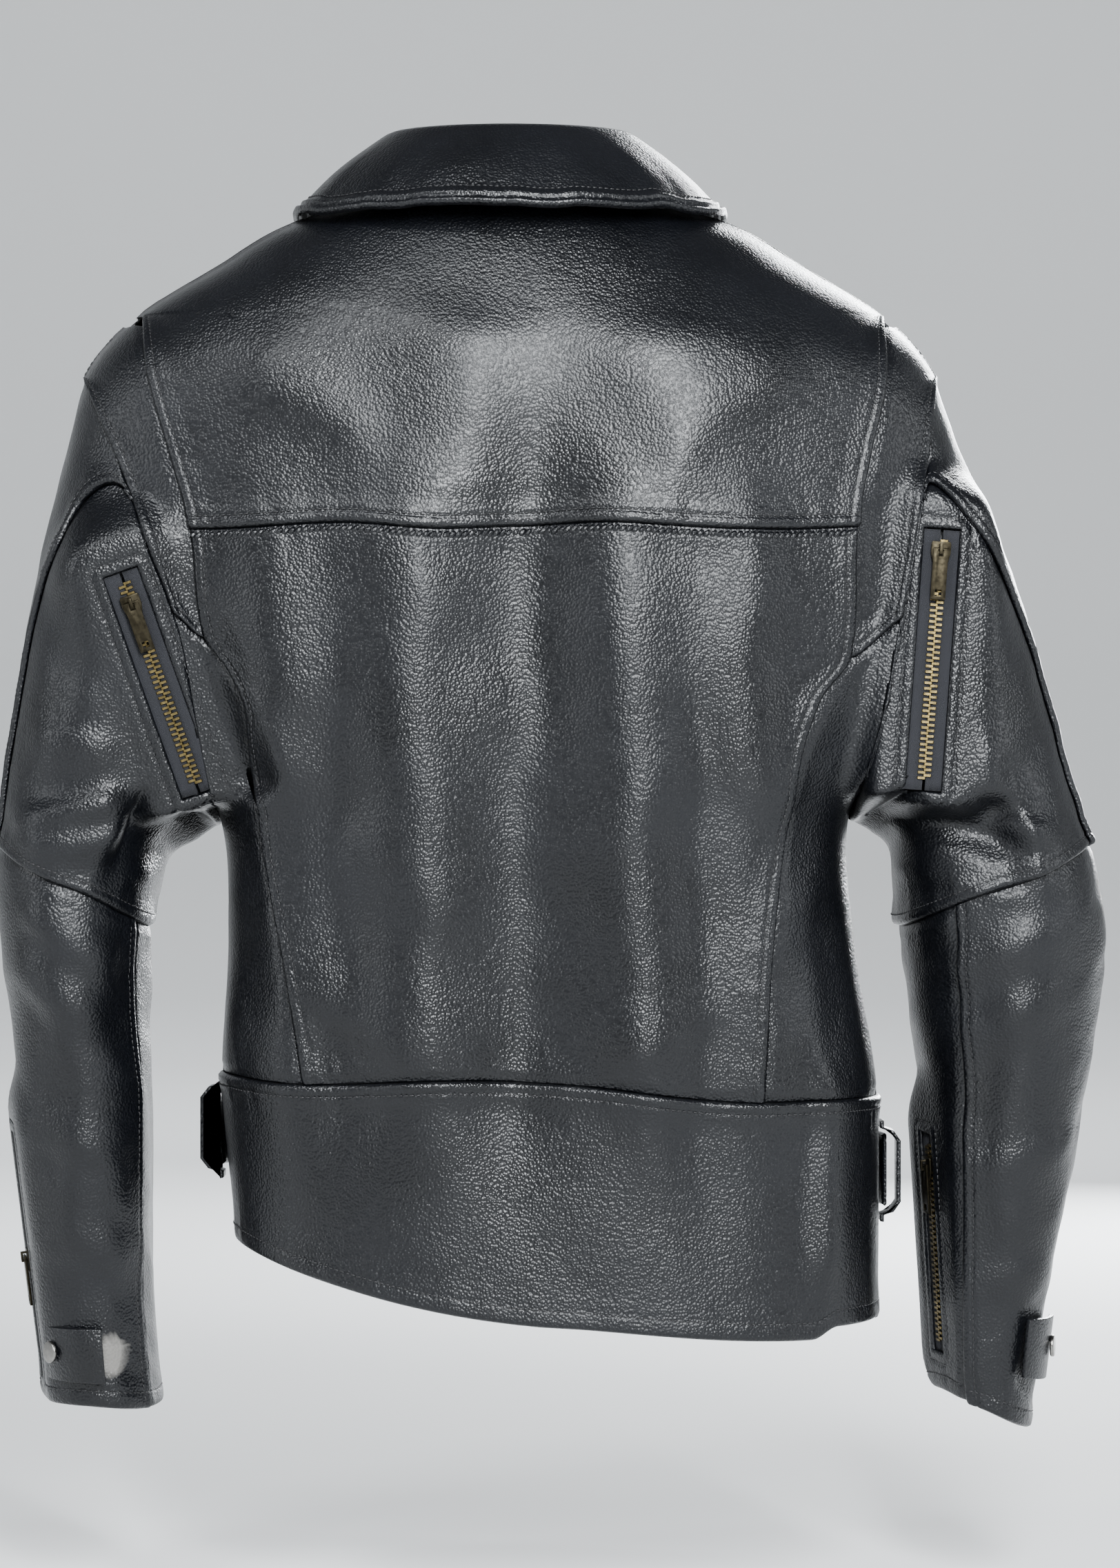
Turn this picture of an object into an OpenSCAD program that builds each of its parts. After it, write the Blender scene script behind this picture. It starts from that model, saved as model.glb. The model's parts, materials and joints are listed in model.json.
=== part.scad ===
// Leather riding jacket, hung as on a hanger. Back to -Y, front to +Y, the wearer's right to +X.
// The origin is at the back of the neck seam, where a hanger carries the jacket.

/* [Body] */
// Half width of the neck opening
neck_half_w = 70; // [64:1:78]
// Half width across the shoulder points, where the sleeves are sewn on
shoulder_half_w = 232; // [222:1:240]
// Half width of the body at the armpits
chest_half_w = 172; // [166:1:178]
// Half width of the body at the waist seam
waist_half_w = 179; // [172:1:184]
// Half depth of the back, from the middle plane
back_depth = 106; // [98:1:112]
// Half depth of the front, from the middle plane
front_depth = 104; // [98:1:108]
// Height of the shoulder points, under the neck seam
shoulder_z = -95; // [-100:1:-90]
// Height of the armpits
armpit_z = -335; // [-340:1:-330]
// Height of the seam between back and waistband
waist_z = -480; // [-486:1:-474]
// Height of the hem at the centre back
hem_z = -604; // [-610:1:-598]
// How far the hem hangs to one side of the neck
lean = 28; // [0:1:32]

/* [Leather and lining] */
// Thickness of the leather
leather_t = 1.4; // [1.0:0.1:1.6]
// Gap that a seam leaves between two panels
seam_gap = 1.2; // [0.8:0.1:1.6]
// Thickness of the lining
lining_t = 0.9; // [0.8:0.1:1.2]
// Depth of the lining under the outer face of the leather
lining_depth = 9.5; // [9:0.5:11]

/* [Back yoke] */
// Height of the yoke seam and its braid
yoke_z = -181; // [-186:1:-176]
// Diameter of the braid along the yoke seam
braid_d = 6; // [5:0.5:7]

/* [Collar] */
// Height of the roll line over the neck seam, at the back
collar_rise = 41; // [36:1:44]
// Depth of the collar fall, from the roll line to its edge, at the back
collar_fall = 50; // [44:1:54]
// Thickness of the collar, two leathers and a stiffener
collar_t = 3.2; // [2.6:0.2:3.6]

/* [Zips] */
// Width of one row of teeth
tooth_w = 3.2; // [2.8:0.1:3.4]
// Thickness of the teeth
tooth_t = 2.4; // [2.2:0.1:2.6]
// Width of the tape on each side of the teeth
tape_w = 5; // [4:0.5:5.5]
// Length of a pull tab
pull_len = 27; // [22:1:30]
// Width of a pull tab
pull_w = 8; // [7:0.5:9]

/* [Belt] */
// Width of the belt
belt_w = 40; // [36:1:42]
// Thickness of the belt
belt_t = 2.6; // [2.2:0.1:3]
// Height of the belt's middle
belt_z = -518; // [-521:1:-515]
// How far the belt hangs lower at the right side and higher at the left than in the middle
belt_slope = 12; // [0:1:14]

/* [Hidden] */
leather_colour = "#23242a";
lining_colour = "#17181c";
metal_colour = "#8f7f5e";
tape_colour = "#1d1f26";

// ---- small functions ----
function mix(a, b, t) = a + (b - a) * t;
function ease(t) = let (c = min(1, max(0, t))) c * c * (3 - 2 * c);
function unit(v) = v / norm(v);
function tangent(rows, i) =
    let (a = max(0, i - 1), b = min(len(rows) - 1, i + 1)) (rows[b] - rows[a]) / (rows[b][0] - rows[a][0]);
function span_of(rows, k, i = 0) =
    i >= len(rows) - 2 || (k - rows[i + 1][0]) * (rows[0][0] - rows[1][0]) > 0 ? i : span_of(rows, k, i + 1);
// A row of the table at key k, on a smooth curve through the rows
function at(rows, k) =
    let (i = span_of(rows, k), p = rows[i], q = rows[i + 1], h = q[0] - p[0],
         t = min(1, max(0, (k - p[0]) / h)), t2 = t * t, t3 = t2 * t)
    p * (2 * t3 - 3 * t2 + 1) + tangent(rows, i) * h * (t3 - 2 * t2 + t)
    + q * (3 * t2 - 2 * t3) + tangent(rows, i + 1) * h * (t3 - t2);

// ---- body surface ----
// height, half width, half depth at the back, half depth at the front, squareness
body_rows = [
    [0, neck_half_w, 56, 56, 2],
    [-10, 116, 66, 66, 2],
    [-35, 160, 80, 80, 2.1],
    [-64, 206, 91, 90, 2.3],
    [shoulder_z, shoulder_half_w, 98, 96, 2.6],
    [-140, 244, 102, 101, 2.6],
    [-200, 240, back_depth, front_depth, 2.6],
    [-260, 217, back_depth + 2, front_depth, 2.6],
    [-305, 192, back_depth + 2, front_depth, 2.6],
    [armpit_z, chest_half_w, back_depth + 1, front_depth, 2.6],
    [-400, 171, back_depth - 2, front_depth, 2.6],
    [waist_z, waist_half_w, back_depth - 4, front_depth, 2.6],
    [-540, 177, back_depth - 4, front_depth, 2.6],
    [-620, 172, back_depth - 4, front_depth, 2.6]
];
// height, distance of the armhole seam from the leaning middle line; the jacket hangs a little turned
armhole_rows_left = [
    [shoulder_z, shoulder_half_w], [-148, 211], [-190, 198], [-235, 184], [-285, 178], [armpit_z, chest_half_w]
];
armhole_rows_right = [
    [shoulder_z, shoulder_half_w], [-148, 222], [-190, 213], [-235, 202], [-285, 190], [armpit_z, chest_half_w]
];
// height, distance of the yoke's side edge and then of the princess seam from the middle
back_seam_rows_left = [
    [-64, 200], [-100, 194], [-140, 184], [yoke_z, 175], [-238, 171], [-258, 157], [-280, 147], [-356, 142],
    [-420, 134], [waist_z, 130]
];
back_seam_rows_right = [
    [-64, 204], [-100, 203], [-140, 192], [yoke_z, 182], [-250, 174], [-272, 156], [-305, 142], [-365, 127],
    [-411, 120], [waist_z, 114]
];
gusset_end_z = -236;
function lean_at(z) = lean * max(0, shoulder_z - z) / 500;
// x is measured from the leaning middle line; face is -1 at the back and 1 at the front
function turn_at(x, z) =
    let (r = at(body_rows, z)) sign(x) * asin(pow(min(1, abs(x) / r[1]), r[4] / 2));
function body_pt(turn, z, face) =
    let (r = at(body_rows, z), e = 2 / r[4], d = face < 0 ? r[2] : r[3])
    [lean_at(z) + sign(turn) * r[1] * pow(abs(sin(turn)), e), face * d * pow(abs(cos(turn)), e), z];
function armhole_x(side, z) = at(side < 0 ? armhole_rows_left : armhole_rows_right, z)[1];
// The turn of the body's side edge: the armhole between shoulder and armpit, and the side seam under it
ridge_turn = 89.6;
function side_turn(side, z) = z < shoulder_z && z > armpit_z ? turn_at(armhole_x(side, z), z) : ridge_turn;
// Height of the body's surface over a point of the plan
function top_z(x, y, low = -200, high = -1, steps = 12) =
    let (m = (low + high) / 2, r = at(body_rows, m),
         reach = pow(abs(x) / r[1], r[4]) + pow(abs(y) / (y < 0 ? r[2] : r[3]), r[4]))
    steps == 0 ? m : reach > 1 ? top_z(x, y, low, m, steps - 1) : top_z(x, y, m, high, steps - 1);
function waist_seam(turn) = waist_z - 7 * sin(turn);
function hem_at(turn) = hem_z - 22 * sin(turn) + 17 * pow(sin(turn), 2);

// ---- sleeve surface ----
// place along the sleeve, outer edge x and z, inner edge x and z, half depth, middle y
sleeve_rows_left = [
    [0, -shoulder_half_w, shoulder_z, -chest_half_w + 13.5, armpit_z, 66, 0],
    [1, -246, -150, -160, -337, 69, 0],
    [2, -262, -225, -165, -340, 71, 0],
    [3, -275, -300, -173, -345, 71, 2],
    [4, -281, -358, -188, -358, 69, 4],
    [5, -280, -400, -198, -400, 66, 8],
    [6, -274, -450, -199, -450, 62, 14],
    [7, -267, -520, -198, -520, 58, 22],
    [8, -258, -590, -198, -590, 55, 30],
    [9, -252, -655, -194, -660, 53, 36]
];
sleeve_rows_right = [
    [0, shoulder_half_w, shoulder_z, chest_half_w + 13.5, armpit_z, 66, 0],
    [1, 252, -150, 187, -337, 69, 0],
    [2, 280, -225, 191, -340, 71, 0],
    [3, 304, -300, 198, -345, 71, 2],
    [4, 320, -358, 209, -358, 69, 4],
    [5, 327, -400, 215, -400, 66, 8],
    [6, 322, -450, 221, -450, 62, 14],
    [7, 311, -520, 232, -520, 58, 22],
    [8, 297, -590, 238, -590, 55, 30],
    [9, 287, -672, 240, -650, 52, 36]
];
sleeve_squareness = 2.3;
function sleeve_rows(side) = side < 0 ? sleeve_rows_left : sleeve_rows_right;
function swing(c, e) = sign(c) * pow(abs(c), 2 / e);
function armhole_pt(side, b) =
    let (z = mix(shoulder_z, armpit_z, (1 - cos(b)) / 2), face = sin(b) < 0 ? -1 : 1)
    body_pt(side * turn_at(armhole_x(side, z), z), z, face);
// b is 0 on the outer edge, 90 at the front, 180 on the inner edge and -90 at the back
function ring_pt(side, u, b) =
    let (r = at(sleeve_rows(side), u), c = swing(cos(b), sleeve_squareness), s = swing(sin(b), sleeve_squareness))
    [mix(r[3], r[1], (1 + c) / 2), r[6] + r[5] * s, mix(r[4], r[2], (1 + c) / 2)];
function sleeve_pt(side, u, b) =
    u >= 1 ? ring_pt(side, u, b) : mix(armhole_pt(side, b), ring_pt(side, u, b), ease(u));
// Place along the sleeve of height z, under the elbow's upper edge
function sleeve_u(side, z) = let (rows = sleeve_rows(side), keys = [for (r = rows) [-(r[2] + r[4]) / 2, r[0]]])
    at(keys, -z)[1];

// ---- elbow ----
elbow_z = -388;
elbow_forward = 20;
elbow_bend = 45;
elbow_clear = 1.5;
function elbow_y(side) = at(sleeve_rows(side), sleeve_u(side, elbow_z))[6] + elbow_forward;
function elbow_x(side) = let (r = at(sleeve_rows(side), sleeve_u(side, elbow_z))) (r[1] + r[3]) / 2;
// The wedge that opens at the front of the elbow, as a height over or under elbow_z
function elbow_wedge(side, b) =
    let (p = sleeve_pt(side, sleeve_u(side, elbow_z), b))
    max(0, p[1] - elbow_y(side)) * tan(elbow_bend / 2 + elbow_clear);
function upper_end(side, b, gap = seam_gap / 2) = sleeve_u(side, elbow_z + gap + elbow_wedge(side, b));
function forearm_start(side, b, gap = seam_gap / 2) = sleeve_u(side, elbow_z - gap - elbow_wedge(side, b));

// ---- sheets and cords ----
// A closed sheet that lies on a grid of points, its faces at out and out - thick along the normal
function sheet_normal(g, i, j) =
    let (m = len(g), n = len(g[0]))
    unit(cross(g[min(m - 1, i + 1)][j] - g[max(0, i - 1)][j], g[i][min(n - 1, j + 1)] - g[i][max(0, j - 1)]));
module sheet(g, out, thick, away) {
    m = len(g);
    n = len(g[0]);
    way = sheet_normal(g, floor(m / 2), floor(n / 2)) * away < 0 ? -1 : 1;
    function layer(k) = [for (i = [0:m - 1]) for (j = [0:n - 1]) g[i][j] + way * sheet_normal(g, i, j) * k];
    function o(i, j) = i * n + j;
    function q(i, j) = i * n + j + m * n;
    quads = concat(
        [for (i = [0:m - 2]) for (j = [0:n - 2]) [o(i, j), o(i, j + 1), o(i + 1, j + 1), o(i + 1, j)]],
        [for (i = [0:m - 2]) for (j = [0:n - 2]) [q(i, j), q(i + 1, j), q(i + 1, j + 1), q(i, j + 1)]],
        [for (i = [0:m - 2]) [o(i, 0), o(i + 1, 0), q(i + 1, 0), q(i, 0)]],
        [for (i = [0:m - 2]) [o(i + 1, n - 1), o(i, n - 1), q(i, n - 1), q(i + 1, n - 1)]],
        [for (j = [0:n - 2]) [o(0, j + 1), o(0, j), q(0, j), q(0, j + 1)]],
        [for (j = [0:n - 2]) [o(m - 1, j), o(m - 1, j + 1), q(m - 1, j + 1), q(m - 1, j)]]);
    faces = [for (f = quads) each [[f[0], f[1], f[2]], [f[0], f[2], f[3]]]];
    polyhedron(concat(layer(out), layer(out - thick)),
               [for (f = faces) way > 0 ? f : [f[2], f[1], f[0]]], convexity = 6);
}
// A round cord through the points of a path
cord_sides = 8;
module cord(path, d, up) {
    n = len(path);
    function way(i) = unit(path[min(n - 1, i + 1)] - path[max(0, i - 1)]);
    points = [for (i = [0:n - 1]) let (v = unit(cross(way(i), up)), w = cross(v, way(i)))
        for (k = [0:cord_sides - 1]) path[i] + d / 2 * (v * cos(k * 360 / cord_sides) + w * sin(k * 360 / cord_sides))];
    function id(i, k) = i * cord_sides + k % cord_sides;
    sides = [for (i = [0:n - 2]) for (k = [0:cord_sides - 1]) each
        [[id(i, k), id(i + 1, k), id(i + 1, k + 1)], [id(i, k), id(i + 1, k + 1), id(i, k + 1)]]];
    ends = concat([for (k = [1:cord_sides - 2]) [id(0, 0), id(0, k), id(0, k + 1)]],
                  [for (k = [1:cord_sides - 2]) [id(n - 1, 0), id(n - 1, k + 1), id(n - 1, k)]]);
    polyhedron(points, concat(sides, ends), convexity = 6);
}
// The points of a body panel between two turns, from its upper to its lower edge
function body_grid(face, rows, columns, upper, lower, left, right) =
    [for (i = [0:rows]) [for (j = [0:columns])
        let (top = mix(left(upper(0)), right(upper(0)), j / columns),
             foot = mix(left(lower(top)), right(lower(top)), j / columns),
             z = mix(upper(top), lower(foot), i / rows))
        body_pt(mix(left(z), right(z), j / columns), z, face)]];
function sleeve_grid(side, rows, columns, b_from, b_to, u_from, u_to) =
    [for (i = [0:rows]) [for (j = [0:columns])
        let (t = i / rows,
             b_top = mix(b_from(0), b_to(0), j / columns),
             u = mix(u_from(b_top), u_to(mix(b_from(9), b_to(9), j / columns)), t))
        sleeve_pt(side, u, mix(b_from(u), b_to(u), j / columns))]];
// A seam's gap, as a turn about the body's middle
gap_turn = 0.25;
back_away = [0, -1, 0];
front_away = [0, 1, 0];

// ---- back ----
function back_seam_turn(side, z) =
    turn_at(at(side < 0 ? back_seam_rows_left : back_seam_rows_right, z)[1], z);
module back_yoke() {
    top_z = -3;
    function edge(side, z) = side * (z > -64 ? ridge_turn : back_seam_turn(side, z) - gap_turn);
    color(leather_colour) sheet(
        body_grid(-1, 12, 18, function (t) top_z, function (t) yoke_z + seam_gap / 2,
                  function (z) edge(-1, z), function (z) edge(1, z)),
        0, leather_t, back_away);
}
module back_panel() {
    function edge(side, z) = side * (back_seam_turn(side, z) - gap_turn);
    color(leather_colour) sheet(
        body_grid(-1, 12, 14, function (t) yoke_z - seam_gap / 2, function (t) waist_seam(t) + seam_gap / 2,
                  function (z) edge(-1, z), function (z) edge(1, z)),
        0, leather_t, back_away);
}
module back_gusset(side) {
    top_z = -68;
    function inner(z) = side * (back_seam_turn(side, z) + gap_turn);
    function outer(z) = side * (side_turn(side, z) - (z > shoulder_z ? 0 : 2 * gap_turn));
    color(leather_colour) sheet(
        body_grid(-1, 14, 4, function (t) top_z, function (t) gusset_end_z + seam_gap / 2,
                  function (z) inner(z), function (z) outer(z)),
        0, leather_t, back_away);
}
module side_panel(side) {
    function inner(z) = side * (back_seam_turn(side, z) + gap_turn);
    function outer(z) = side * (side_turn(side, z) - (z > armpit_z ? 2 * gap_turn : 0));
    color(leather_colour) sheet(
        body_grid(-1, 12, 7, function (t) gusset_end_z - seam_gap / 2, function (t) waist_seam(t) + seam_gap / 2,
                  function (z) inner(z), function (z) outer(z)),
        0, leather_t, [side, -1, 0]);
}
module waistband() {
    color(leather_colour) sheet(
        body_grid(-1, 6, 24, function (t) waist_seam(t) - seam_gap / 2, function (t) hem_at(t),
                  function (z) -ridge_turn, function (z) ridge_turn),
        0, leather_t, back_away);
}
module yoke_braid() {
    reach = 174;
    steps = 28;
    color(leather_colour) cord(
        [for (i = [0:steps]) let (x = mix(-reach, reach, i / steps))
            body_pt(turn_at(x, yoke_z), yoke_z - 1, -1) - [0, braid_d / 2 + 0.5, 0]],
        braid_d, [0, 0, 1]);
}

// ---- front ----
// Points in x and z on the front: the zip line, and the lines that the lapels fold along
zip_top = [58, -240];
zip_foot = [14, -585];
fold_left_top = [-66, -14];
fold_right_top = [66, -14];
fold_foot_z = -236;
front_hem_z = -588;
function front_hem(turn) = front_hem_z - 22 * sin(turn);
zip_opening = 6.3;
function zip_x(z) = mix(zip_top[0], zip_foot[0], (z - zip_top[1]) / (zip_foot[1] - zip_top[1]));
function fold_x(side, z) =
    let (top = side < 0 ? fold_left_top : fold_right_top, foot = zip_top[0] + side * zip_opening)
    mix(top[0], foot, ease((z - top[1]) / (fold_foot_z - top[1])) * 0.4
        + 0.6 * (z - top[1]) / (fold_foot_z - top[1]));
function front_edge(side, z) = z > fold_foot_z ? fold_x(side, z) : zip_x(z) + side * zip_opening;
function front_turn(side, z) = turn_at(front_edge(side, z) - lean_at(z), z);
function front_pt(x, z) = body_pt(turn_at(x - lean_at(z), z), z, 1);
module front_panel(side) {
    function outer(z) = side * (side_turn(side, z) - (z > shoulder_z || z < armpit_z ? 0 : 2 * gap_turn));
    color(leather_colour) sheet(
        body_grid(1, 20, 10, function (t) fold_left_top[1] - 2, function (t) front_hem(t),
                  function (z) front_turn(side, z), function (z) outer(z)),
        0, leather_t, front_away);
}
// height, distance of the lapel's edge from its fold
lapel_rows = [[-54, 30], [-84, 52], [-112, 77], [-160, 50], [-236, 9]];
lapel_rise = 5;
module lapel(side) {
    rows = 12;
    columns = 5;
    top = lapel_rows[0][0];
    foot = lapel_rows[len(lapel_rows) - 1][0];
    color(leather_colour) sheet(
        [for (i = [0:rows]) let (z = mix(top, foot, i / rows), w = at(lapel_rows, z)[1])
            [for (j = [0:columns]) front_pt(fold_x(side, z) + side * (2 + w * j / columns), z)]],
        lapel_rise + collar_t, collar_t, front_away);
}
module lapel_snaps() {
    cap_d = 12;
    cap_t = 2.2;
    spots = [[-1, -113, 64], [1, -113, 64]];
    color(metal_colour) for (s = spots) {
        p = front_pt(fold_x(s[0], s[1]) + s[0] * s[2], s[1]);
        translate(p + [0, lapel_rise + collar_t + 2.2, 0]) rotate([-90, 0, 0]) cylinder(d = cap_d, h = cap_t, $fn = 32);
    }
}

// ---- collar ----
// turn about the neck, roll height, edge height, edge half width, edge depth
collar_end = 142;
collar_bend = 80;
collar_over = 5.5;
function collar_ring(k, w, d, z) = [w * sin(k), -d * cos(k), z];
// A point of the fall lies no lower than on the shoulders
function on_shoulder(p) = [p[0], p[1], max(p[2], top_z(p[0], p[1]) + collar_over)];
function collar_pt(k, t) =
    let (front = ease((abs(k) - collar_bend) / (collar_end - collar_bend)),
         seam = collar_ring(k, neck_half_w - 3, 53, mix(1, -12, front)),
         roll = collar_ring(k, mix(62, 68, front), mix(47, 62, front), mix(collar_rise, 6, front)),
         edge = collar_ring(k, mix(118, 128, front), mix(88, 116, front), mix(collar_rise - collar_fall, -52, front)),
         lift = 9 * sin(180 * t) * unit([sin(k), -cos(k), 1.2]))
    t < 0.4 ? mix(seam, roll, t / 0.4) : on_shoulder(mix(roll, edge, (t - 0.4) / 0.6) + lift * ((t - 0.4) / 0.6));
module collar() {
    rows = 8;
    columns = 24;
    color(leather_colour) sheet(
        [for (i = [0:rows]) [for (j = [0:columns]) collar_pt(mix(-collar_end, collar_end, j / columns), i / rows)]],
        collar_t / 2, collar_t, [0, -1, 1]);
}
module hanger_loop() {
    loop_d = 3;
    steps = 12;
    drop = 20;
    color(lining_colour) cord(
        [for (i = [0:steps]) let (a = 180 * i / steps) [30 * cos(a), -40, -6 - drop * sin(a)]], loop_d, [0, 1, 0]);
}

// ---- sleeves ----
seam_b_rows = [[0, -66], [1, -46], [2, -30], [3, -24], [5, -22]];
forearm_seam_b = -118;
front_seam_b = 145;
gap_b = 0.8;
function seam_b(u) = at(seam_b_rows, min(5, u))[1];
module top_sleeve(side) {
    color(leather_colour) sheet(
        sleeve_grid(side, 12, 9, function (u) seam_b(u) + gap_b, function (u) front_seam_b - gap_b,
                    function (b) 0.03, function (b) upper_end(side, b)),
        0, leather_t, [side, 0, 0.2]);
}
module under_sleeve(side) {
    color(leather_colour) sheet(
        sleeve_grid(side, 12, 9, function (u) front_seam_b - 360 + gap_b, function (u) seam_b(u) - gap_b,
                    function (b) 0.03, function (b) upper_end(side, b)),
        0, leather_t, [0, -1, 0]);
}
module forearm_top(side) {
    color(leather_colour) sheet(
        sleeve_grid(side, 9, 12, function (u) forearm_seam_b + gap_b, function (u) front_seam_b - gap_b,
                    function (b) forearm_start(side, b), function (b) 9),
        0, leather_t, [side, 0, 0]);
}
module forearm_under(side) {
    color(leather_colour) sheet(
        sleeve_grid(side, 9, 6, function (u) front_seam_b - 360 + gap_b, function (u) forearm_seam_b - gap_b,
                    function (b) forearm_start(side, b), function (b) 9),
        0, leather_t, [-side, 0, 0]);
}
forearm_lining_depth = 4;
lining_end_u = 8.8;
lining_gap = 3;
module forearm_lining(side) {
    for (half = [0, 180]) color(lining_colour) sheet(
        sleeve_grid(side, 5, 7, function (u) half + 2, function (u) half + 178,
                    function (b) forearm_start(side, b, lining_gap), function (b) lining_end_u),
        -forearm_lining_depth, lining_t, half == 0 ? [0, 1, 0] : [0, -1, 0]);
}
module upper_sleeve_lining(side) {
    for (half = [0, 180]) color(lining_colour) sheet(
        sleeve_grid(side, 5, 7, function (u) half + 2, function (u) half + 178,
                    function (b) 0.35, function (b) upper_end(side, b, lining_gap)),
        -forearm_lining_depth, lining_t, half == 0 ? [0, 1, 0] : [0, -1, 0]);
}
module body_lining() {
    top_z = -8;
    inset = 3.5;
    function edge(side, z) = side * (min(86, side_turn(side, z)) - inset);
    color(lining_colour) {
        sheet(body_grid(-1, 12, 14, function (t) top_z, function (t) front_hem(t) + 18,
                        function (z) edge(-1, z), function (z) edge(1, z)),
              -lining_depth, lining_t, back_away);
        for (side = [-1, 1]) sheet(
            body_grid(1, 12, 6, function (t) -30, function (t) front_hem(t) + 18,
                      function (z) front_turn(side, z) + side * 2, function (z) edge(side, z)),
            -lining_depth, lining_t, front_away);
    }
    for (side = [-1, 1]) upper_sleeve_lining(side);
}
module pocket_bags() {
    top_z = -440;
    bag_h = 110;
    function column(i, side) = turn_at(side * (68 + 12 * i), top_z);
    color(lining_colour) for (side = [-1, 1]) sheet(
        [for (i = [0:3]) [for (j = [0:4]) body_pt(column(side < 0 ? 4 - j : j, side), top_z - bag_h * i / 3, 1)]],
        -5, 1.2, front_away);
}

// ---- zips ----
// Each zip runs straight along +X of its own frame, from its upper end, with +Z out of the leather
zip_rise = tooth_t / 2 + 2.5;
tape_t = 0.8;
zip_split = 1.2;
plate_gap = 0.35;
plate_t = 1.2;
slider_w = 10.6;
slider_len = 12;
web_t = 0.5;
crown_rise = 3.3;
hinge_x = -1.8;
hinge_z = tooth_t / 2 + plate_gap + plate_t + 1.05;
bar_d = 1.4;
pull_t = 1.4;
pull_gap = 3.9;
// A zip is [samples of the surface from its upper to its lower end, outward, rise over it, slider's place]
function sleeve_path(side, from, to) =
    [for (i = [0:8]) sleeve_pt(side, mix(from[0], to[0], i / 8), mix(from[1], to[1], i / 8))];
function front_path(from, to) =
    [for (i = [0:8]) front_pt(mix(from[0], to[0], i / 8), mix(from[1], to[1], i / 8))];
zip_vent_left = [sleeve_path(-1, [0.70, -79], [0.87, -139]), [0, -1, 0], zip_rise + 1.2, 14];
zip_vent_right = [sleeve_path(1, [0.82, -63], [2.40, -111]), [0, -1, 0], zip_rise, 8];
zip_cuff_left = [sleeve_path(-1, [6.9, -12], [8.75, -12]), [-1, -0.2, 0], zip_rise, 66];
zip_cuff_right = [sleeve_path(1, [6.9, 200], [8.55, 200]), [-0.9, -0.35, 0], zip_rise, 14];
zip_main = [front_path(zip_top, zip_foot), [0, 1, 0], -2.6, 8];
zip_hand_left = [front_path([-62, -392], [-112, -468]), [-0.35, 1, 0], zip_rise, 12];
zip_hand_right = [front_path([94, -392], [144, -468]), [0.35, 1, 0], zip_rise, 12];
zip_chest = [front_path([-42, -312], [-112, -282]), [-0.3, 1, 0], zip_rise, 12];
front_zips = [zip_main, zip_hand_left, zip_hand_right, zip_chest];
function zip_way(z) = unit(z[0][len(z[0]) - 1] - z[0][0]);
function zip_out(z) = unit(z[1] - zip_way(z) * (z[1] * zip_way(z)));
function zip_length(z) = norm(z[0][len(z[0]) - 1] - z[0][0]);
// The highest that the surface stands over the straight line between the zip's ends
function zip_bulge(z) = z[2] < 0 ? 0 : max([for (p = z[0]) (p - z[0][0]) * zip_out(z)]);
function zip_origin(z) = z[0][0] + zip_out(z) * (zip_bulge(z) + z[2]);
function zip_matrix(z) =
    let (u = zip_way(z), n = zip_out(z), v = cross(n, u), o = zip_origin(z))
    [[u[0], v[0], n[0], o[0]], [u[1], v[1], n[1], o[1]], [u[2], v[2], n[2], o[2]], [0, 0, 0, 1]];
module zip_tape(z) {
    color(tape_colour) multmatrix(zip_matrix(z)) for (side = [0, 1]) mirror([0, side, 0])
        translate([-4, zip_split / 2 + tooth_w, -tape_t / 2]) cube([zip_length(z) + 8, tape_w, tape_t]);
}
module zip_teeth(z) {
    color(metal_colour) multmatrix(zip_matrix(z)) for (side = [0, 1]) mirror([0, side, 0])
        translate([0, zip_split / 2, -tooth_t / 2]) cube([zip_length(z), tooth_w, tooth_t]);
}
module slider_plate() {
    linear_extrude(plate_t) polygon([
        [-slider_len / 2, -slider_w / 2 + 0.6], [-slider_len / 2 + 1, -slider_w / 2],
        [0, -slider_w / 2], [slider_len / 2, -slider_w / 2 + 1.4],
        [slider_len / 2, slider_w / 2 - 1.4], [0, slider_w / 2],
        [-slider_len / 2 + 1, slider_w / 2], [-slider_len / 2, slider_w / 2 - 0.6]]);
}
module zip_slider(z) {
    plate_z = tooth_t / 2 + plate_gap;
    crown_w = 1.8;
    leg = 1.2;
    half_span = 2.9;
    top = plate_z + plate_t;
    color(metal_colour) multmatrix(zip_matrix(z)) translate([z[3], 0, 0]) {
        translate([0, 0, plate_z]) slider_plate();
        translate([0, 0, -plate_z - plate_t]) slider_plate();
        translate([-slider_len / 2 + 1, -web_t / 2, -plate_z - 0.2]) cube([slider_len - 3, web_t, 2 * plate_z + 0.4]);
        for (x = [hinge_x - half_span, hinge_x + half_span - leg])
            translate([x, -crown_w / 2, top - 0.2]) cube([leg, crown_w, crown_rise]);
        translate([hinge_x - half_span, -crown_w / 2, top + crown_rise - leg])
            cube([2 * half_span, crown_w, leg]);
    }
}
module zip_pull(z) {
    arm_w = (pull_w - 3) / 2;
    eye = [3.4, 3.6];
    color(metal_colour) multmatrix(zip_matrix(z)) translate([z[3] + hinge_x, 0, hinge_z]) {
        rotate([90, 0, 0]) translate([0, 0, -pull_w / 2]) cylinder(d = bar_d, h = pull_w, $fn = 24);
        for (y = [-pull_w / 2, pull_w / 2 - arm_w])
            translate([0, y, -pull_t / 2]) cube([pull_gap + 0.5, arm_w, pull_t]);
        difference() {
            translate([pull_gap, -pull_w / 2, -pull_t / 2]) cube([pull_len - pull_gap, pull_w, pull_t]);
            translate([pull_len - eye[0] - 1.8, -eye[1] / 2, -pull_t]) cube([eye[0], eye[1], 2 * pull_t]);
        }
    }
}

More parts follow.
